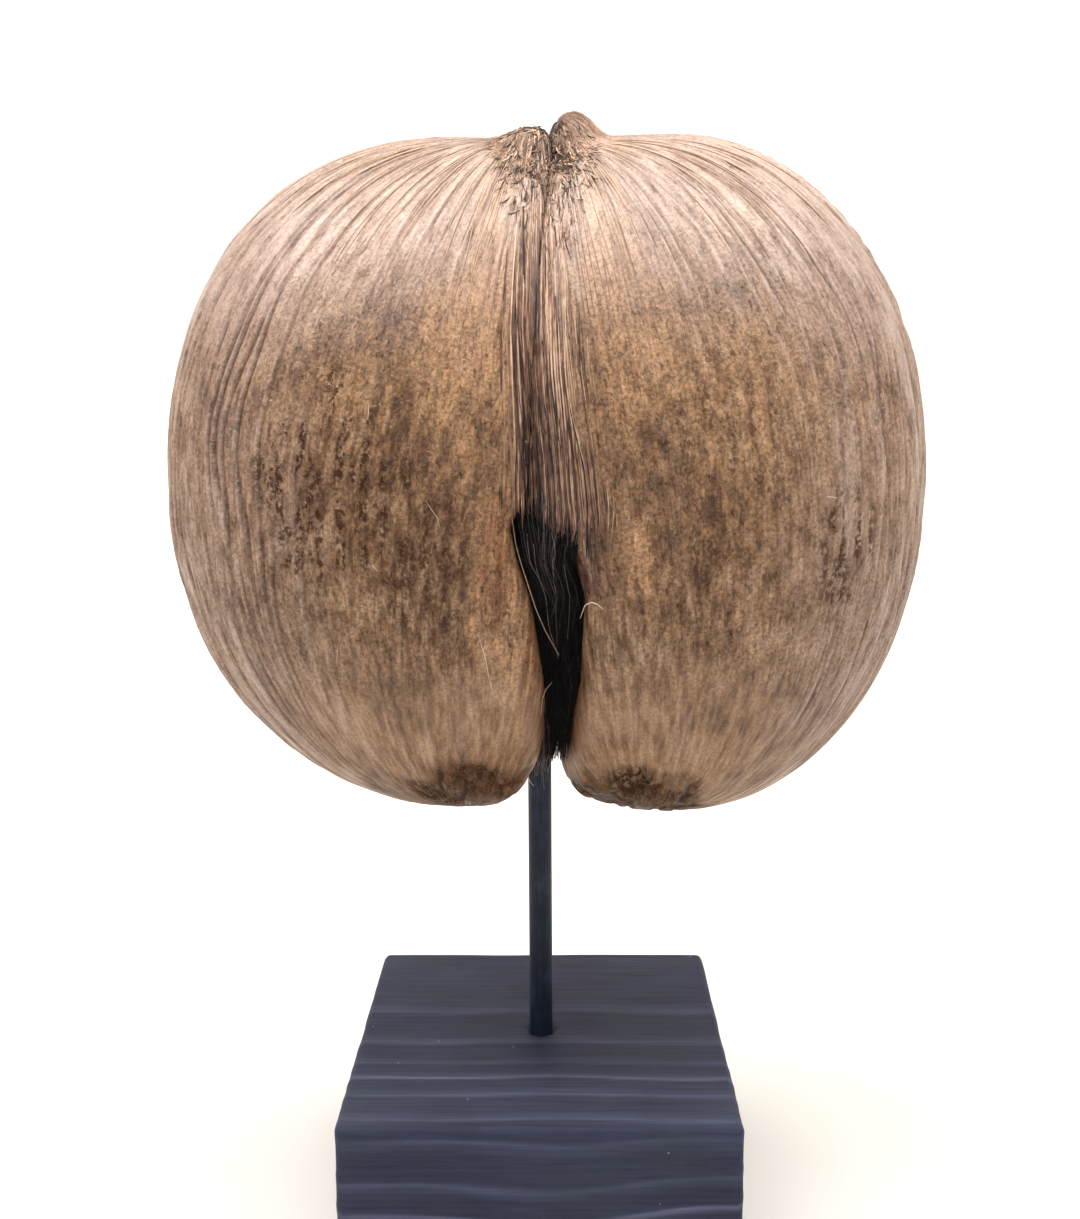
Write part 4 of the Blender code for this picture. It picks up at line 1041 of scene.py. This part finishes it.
# single loose fibres: radius, shade, and a few places each runs through, with heights above the block's top
looseFibres = (
    (0.00028, 0.30, ((-0.0073, -0.0865, 0.2235), (-0.0061, -0.0860, 0.2145), (-0.0042, -0.0850, 0.2074),
                     (-0.0017, -0.0840, 0.1992), (0.0003, -0.0830, 0.1927), (0.0032, -0.0815, 0.1854),
                     (0.0079, -0.0795, 0.1764))),
    (0.00024, 0.95, ((0.0150, -0.0800, 0.1890), (0.0156, -0.0840, 0.1916), (0.0165, -0.0862, 0.1946),
                     (0.0185, -0.0875, 0.1958), (0.0204, -0.0884, 0.1953), (0.0224, -0.0888, 0.1938))),
    (0.00022, 0.40, ((0.0016, -0.0735, 0.1540), (0.0022, -0.0745, 0.1600), (0.0031, -0.0750, 0.1631),
                     (0.0055, -0.0752, 0.1662))),
    (0.00018, 0.85, ((-0.0190, -0.0862, 0.1850), (-0.0183, -0.0858, 0.1829), (-0.0165, -0.0842, 0.1758),
                     (-0.0157, -0.0820, 0.1691), (-0.0142, -0.0795, 0.1619))),
    (0.00014, 0.80, ((-0.0663, -0.0818, 0.1805), (-0.0668, -0.0806, 0.1770), (-0.0672, -0.0798, 0.1732))),
    (0.00026, 0.90, ((0.0915, -0.0830, 0.2312), (0.0945, -0.0823, 0.2300), (0.0975, -0.0811, 0.2294),
                     (0.1015, -0.0789, 0.2290))),
    (0.00020, 0.75, ((-0.0529, -0.0868, 0.2608), (-0.0531, -0.0872, 0.2580), (-0.0533, -0.0875, 0.2555))),
    (0.00022, 0.85, ((-0.0535, -0.0882, 0.2088), (-0.0523, -0.0886, 0.2078), (-0.0512, -0.0888, 0.2064))),
    (0.00018, 0.60, ((-0.0348, -0.0903, 0.2295), (-0.0332, -0.0903, 0.2268), (-0.0312, -0.0902, 0.2240),
                     (-0.0305, -0.0900, 0.2205))),
    (0.00020, 0.80, ((-0.0048, -0.0330, 0.1200), (-0.0040, -0.0310, 0.1187), (-0.0030, -0.0300, 0.1165),
                     (-0.0018, -0.0300, 0.1151))),
)


def makeLoose(material):
    # each is a tube along a line through its places, with the corners rounded off
    points, faces, shades, used = [], [], [], 0
    for radius, brightness, places in looseFibres:
        corners = np.array(places)
        t = np.linspace(0, len(corners) - 1, 8 * len(corners))
        path = np.stack([np.interp(t, np.arange(len(corners)), corners[:, axis]) for axis in range(3)], -1)
        for _ in range(3):
            path[1:-1] = (path[:-2] + 2 * path[1:-1] + path[2:]) / 4
        path[:, 2] += blockTop
        radii = 0.52 * radius * mix(0.4, 1.0, np.sin(np.linspace(0.3, 2.85, len(path))))
        more, sides = tubes(path[None], radii[None], 5)
        points.append(more.reshape(-1, 3))
        faces += [group + used for group in sides]
        used += len(points[-1])
        shades.append(np.full(len(points[-1]), brightness))
    shade = np.concatenate(shades)
    values = {"shade": shade, "cool": 0 * shade}
    newPiece("looseFibres", np.concatenate(points), faces, material, values)


looseStops = ((0.0, "8d7764"), (0.6, "b9a38f"), (1.0, "e2d3c3"))
makeLoose(strandMaterial("paleLooseFibre", looseStops, 0.5))
print("loose fibres made")


# the bar

bar = {
    "radius": 0.00475, "sides": 72, "rings": 60,
    "bottom": blockTop - 0.045, "top": blockTop + 0.245,
    "paint": ((0.35, "0f1624"), (0.5, "182132"), (0.68, "28334a")),
}


def barMaterial():
    # mild steel rod brushed with satin blue-black paint: soft highlights and faint brush lines up the bar
    finish = {"Roughness": 0.5, "IOR": 1.45, "Specular_IOR_Level": 0.28}
    material, tree, shader = newMaterial("satinBlackPaintedSteel", **finish)
    add = functools.partial(addNode, tree)
    place = add("TexCoord", (), "Object")
    patches = add("TexNoise", {"Vector": place, "Scale": 90.0, "Detail": 3.0, "Roughness": 0.6}, "Fac")
    brushed = add("Mapping", {"Vector": place, "Scale": (1.0, 1.0, 0.06)})
    lines = add("TexNoise", {"Vector": brushed, "Scale": 1400.0, "Detail": 2.0, "Roughness": 0.5}, "Fac")
    shade = add("Math", (patches, 0.6), operation="MULTIPLY")
    shade = add("Math", (shade, add("Math", (lines, 0.4), operation="MULTIPLY")), operation="ADD")
    colour = add("ValToRGB", (shade,), stops=bar["paint"])
    tree.links.new(colour, shader.inputs["Base Color"])
    bump = add("Bump", {"Strength": 0.3, "Distance": 0.0002, "Height": lines})
    tree.links.new(bump, shader.inputs["Normal"])
    return material


def makeBar():
    rings = bar["rings"]
    heights = np.linspace(bar["bottom"], bar["top"], rings)
    path = np.stack((np.zeros(rings), np.zeros(rings), heights), -1)[None]
    points, faces = tubes(path, np.full((1, rings), bar["radius"]), bar["sides"])
    piece = newPiece("bar", points, faces, barMaterial())
    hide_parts("rod")


makeBar()
print("bar made")


# the block

block = {
    "side": blockHigh.x - blockLow.x, "height": blockTop,
    "edge": 0.0028,                   # rounded top edges
    "ringMm": 8.6, "ringHeight": 0.00028,
    "pith": (0.055, -0.060),          # y and height of the tree's middle, outside the block
    "footRadius": 0.0052, "footDepth": 0.0016,
    "wear": 0.0006,
    "grid": 110, "crowding": 1.15,    # lines each way on a face, closer towards its edges
    "rings": ((0.0, "2b2e42"), (0.45, "363a50"), (1.0, "5a5c74")),    # from soft to hard wood
    "cold": "30383f", "dust": "9c9ca4",
    # noises: the scale along the block, the whole scale, detail and roughness
    "noises": (
        ("grain", 0.03, 560.0, 4.0, 0.7),
        ("patches", 0.6, 28.0, 4.0, 0.6),
        ("cold", 0.5, 34.0, 3.0, 0.6),
    ),
}


def blockMaterial():
    # brushed softwood under blue-black stain: the hard rings stand up and catch the light
    finish = {"Roughness": 0.68, "IOR": 1.45, "Specular_IOR_Level": 0.22}
    material, tree, shader = newMaterial("blackStainedPine", **finish)
    add = functools.partial(addNode, tree)
    place = add("TexCoord", (), "Object")
    noise = {}
    for name, lengthways, scale, detail, roughness in block["noises"]:
        drawn = add("Mapping", {"Vector": place, "Scale": (lengthways, 1.0, 1.0)})
        sizes = {"Vector": drawn, "Scale": scale, "Detail": detail, "Roughness": roughness}
        noise[name] = add("TexNoise", sizes, "Fac")
    ring = add("Attribute", (), "Fac", attribute_name="ring")
    base = add("ValToRGB", (ring,), stops=block["rings"])
    for name, stops in (("patches", ((0.3, 0.82), (0.7, 1.15))), ("grain", ((0.32, 0.70), (0.68, 1.26)))):
        tone = add("ValToRGB", (noise[name],), stops=stops)
        base = add("Mix", {0: 1.0, 6: base, 7: tone}, 2, data_type="RGBA", blend_type="MULTIPLY")
    cold = add("ValToRGB", (noise["cold"],), stops=((0.48, 0.0), (0.66, 0.45)))
    specks = add("TexVoronoi", {"Vector": place, "Scale": 70.0}, "Distance")
    dust = add("ValToRGB", (specks,), stops=((0.022, 1.0), (0.034, 0.0)))
    dust = add("Math", (dust, 0.5), operation="MULTIPLY")
    for name, amount in (("cold", cold), ("dust", dust)):
        base = add("Mix", {0: amount, 6: base, 7: linearColour(block[name])}, 2, data_type="RGBA")
    tree.links.new(base, shader.inputs["Base Color"])
    bump = add("Bump", {"Strength": 0.35, "Distance": 0.0003, "Height": noise["grain"]})
    tree.links.new(bump, shader.inputs["Normal"])
    return material


def makeBlock():
    # each face of a cube is a grid; the cube is drawn in to a rounded box and then
    # raised by the tree rings, whose distance from the pith gives their place
    count = block["grid"]
    half = block["side"] / 2
    sizes = np.array((half, half, block["height"] / 2))
    t = np.linspace(-1, 1, count)
    t = np.sign(t) * (1 - (1 - np.abs(t)) ** block["crowding"])
    u, v = np.meshgrid(t, t, indexing="ij")
    one = np.ones_like(u)
    sides = ((one, u, v), (-one, v, u), (v, one, u), (u, -one, v), (u, v, one), (v, u, -one))
    points = np.stack([np.stack(s, -1) for s in sides]) * sizes
    core = np.clip(points, -(sizes - block["edge"]), sizes - block["edge"])
    outward = points - core
    distance = np.linalg.norm(outward, axis=-1, keepdims=True)
    normal = outward / np.maximum(distance, 1e-9)
    points = core + normal * block["edge"]
    points[..., 2] += block["height"] / 2
    x, y, z = points[..., 0], points[..., 1], points[..., 2]
    pithY, pithZ = block["pith"]
    wave = mix(0.0065, 0.0035, smoothStep(0.050, 0.068, z))
    sway = wave * (smoothNoise(x / 0.075, y / 0.12, z / 0.12, seed=2) - 0.5)
    sway = sway + 0.0004 * np.sin(x / 0.015 + 1.0)
    phase = (np.hypot(y - pithY, z - pithZ) + sway) / (block["ringMm"] * millimetre)
    uneven = phase + 0.16 * np.sin(phase * 1.7) + 0.12 * np.sin(phase * 0.61 + 2)
    saw = uneven - np.floor(uneven)
    ring = smoothStep(0.50, 0.86, saw) * smoothStep(1.0, 0.90, saw)
    strength = 0.45 + 0.55 * latticeValue(np.floor(uneven).astype(np.int64), 0, 0, 4)
    height = block["ringHeight"] * (ring * strength - 0.5)
    worn = block["wear"] * (smoothNoise(x / 0.02, y / 0.02, z / 0.02, seed=6) - 0.5)
    foot = np.hypot(x, y)
    dip = block["footDepth"] * smoothStep(block["footRadius"] + 0.0009, block["footRadius"] - 0.0003, foot)
    dip = dip * (z > block["height"] - 0.004)
    under = smoothStep(0.0, 0.002, z)
    points = points + normal * ((height + worn) * under - dip)[..., None]
    index = np.arange(points.size // 3).reshape(6, count, count)
    quads = np.stack((index[:, :-1, :-1], index[:, 1:, :-1], index[:, 1:, 1:], index[:, :-1, 1:]), -1)
    faces = [quads.reshape(-1, 4)]
    piece = newPiece("blackBlock", points, faces, blockMaterial(), {"ring": ring * strength})
    weld(piece)
    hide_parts("block")


def weld(piece):
    # joins the six faces at their shared edges
    cage = bmesh.new()
    cage.from_mesh(piece.data)
    bmesh.ops.remove_doubles(cage, verts=cage.verts, dist=0.00002)
    bmesh.ops.recalc_face_normals(cage, faces=cage.faces)
    cage.to_mesh(piece.data)
    cage.free()


makeBlock()
print("block made")


# the room

room = {
    "white": "d6d5d3", "warm": "d4d2cd",
    "centre": (0.0, -0.75), "radii": (2.4, 1.85), "height": 2.4,
    "sides": 96, "bendRings": 24, "bend": 0.19, "bendHeight": 0.35,   # the bend is a share of the radii
}
# name, place, size across and up, power and colour; all but the last point at the seed
lamps = (
    ("leftOverhead", (-0.80, -0.25, 1.45), (0.8, 0.8), 19.2, "fffaf6"),
    ("rightOverhead", (0.80, -0.15, 1.45), (0.8, 0.8), 16.0, "fffaf6"),
    ("topSoftbox", (0.0, -0.25, 1.65), (1.2, 0.8), 20.0, "fffaf6"),
    ("frontFill", (0.1, -1.7, 0.75), (1.6, 1.0), 4.2, "fbfaff"),
    ("backGlow", (0.0, 0.55, 1.4), (2.0, 0.8), 11.0, "fffdf8"),
)
aims = {"backGlow": (0.0, 1.0, 0.4)}
seedMiddle = (0.0, 0.0, 0.3)
sky = {"colour": "fffcf6", "strength": 0.22}


def makeRoom():
    # a bowl of pale card: a flat oval floor that bends up into a wall all round
    bend, around = room["bend"], room["sides"]
    t = np.linspace(0, 1, room["bendRings"])
    reach = np.concatenate(((0.35,), 1.0 - bend + bend * np.sin(t * math.pi / 2), (1.0,)))
    z = np.concatenate(((0.0,), room["bendHeight"] * (1.0 - np.cos(t * math.pi / 2)), (room["height"],)))
    angle = np.arange(around) / around * 2 * math.pi
    x = room["centre"][0] + room["radii"][0] * reach[:, None] * np.cos(angle)
    y = room["centre"][1] + room["radii"][1] * reach[:, None] * np.sin(angle)
    points = np.stack(np.broadcast_arrays(x, y, z[:, None]), -1).reshape(-1, 3)
    faces = ringQuads(len(reach), around)[:, ::-1].tolist() + [list(range(around))]
    material, tree, shader = newMaterial("paleCard", Roughness=0.9)
    place = addNode(tree, "TexCoord", (), "Object")
    sizes = {"Vector": place, "Scale": 3.0, "Detail": 3.0, "Roughness": 0.5}
    clouds = addNode(tree, "TexNoise", sizes, "Fac")
    colour = addNode(tree, "ValToRGB", (clouds,), stops=((0.35, room["warm"]), (0.65, room["white"])))
    tree.links.new(colour, shader.inputs["Base Color"])
    mesh = bpy.data.meshes.new("paleSweep")
    mesh.from_pydata(points.tolist(), [], faces)
    mesh.polygons.foreach_set("use_smooth", np.full(len(mesh.polygons), True))
    mesh.materials.append(material)
    sweep = bpy.data.objects.new("paleSweep", mesh)
    bpy.context.scene.collection.objects.link(sweep)


def addLight(name, place, target, size, power, colour):
    light = bpy.data.lights.new(name, "AREA")
    light.shape = "RECTANGLE"
    light.size, light.size_y = size
    light.energy = power
    light.color = linearColour(colour)[:3]
    lamp = bpy.data.objects.new(name, light)
    forward = np.array(target, float) - np.array(place, float)
    forward /= np.linalg.norm(forward)
    right = np.cross(forward, (0.0, 0.0, 1.0))
    right /= np.linalg.norm(right)
    above = np.cross(right, forward)
    aim = Matrix((right, above, -forward)).transposed()
    lamp.matrix_world = Matrix.Translation(place) @ aim.to_4x4()
    bpy.context.scene.collection.objects.link(lamp)


def makeLights():
    # three large lamps above give the soft highlights, a weaker one fills the front, and one lights
    # the wall behind
    for name, place, size, power, colour in lamps:
        addLight(name, place, aims.get(name, seedMiddle), size, power, colour)
    world = bpy.data.worlds.new("paleRoom")
    bpy.context.scene.world = world
    world.use_nodes = True
    background = world.node_tree.nodes["Background"]
    background.inputs["Color"].default_value = linearColour(sky["colour"])
    background.inputs["Strength"].default_value = sky["strength"]


# solved from the block's corners in the picture, for its 1080 by 1219 frame; angles in degrees
view = {"place": (0.0075, -0.5146, blockTop + 0.267), "yaw": 0.78, "down": 9.77, "roll": -0.33, "lens": 38.93}


def makeCamera():
    camera = bpy.data.cameras.new("camera")
    camera.sensor_width = 36.0
    camera.lens = view["lens"]
    camera.clip_start = 0.01
    holder = bpy.data.objects.new("camera", camera)
    yaw = Matrix.Rotation(math.radians(view["yaw"]), 4, "Z")
    pitch = Matrix.Rotation(math.radians(90 - view["down"]), 4, "X")
    roll = Matrix.Rotation(math.radians(view["roll"]), 4, "Z")
    holder.matrix_world = Matrix.Translation(view["place"]) @ yaw @ pitch @ roll
    bpy.context.scene.collection.objects.link(holder)
    bpy.context.scene.camera = holder


makeRoom()
makeLights()
makeCamera()
bpy.context.scene.view_settings.view_transform = "Standard"
print("room, lights and camera made")
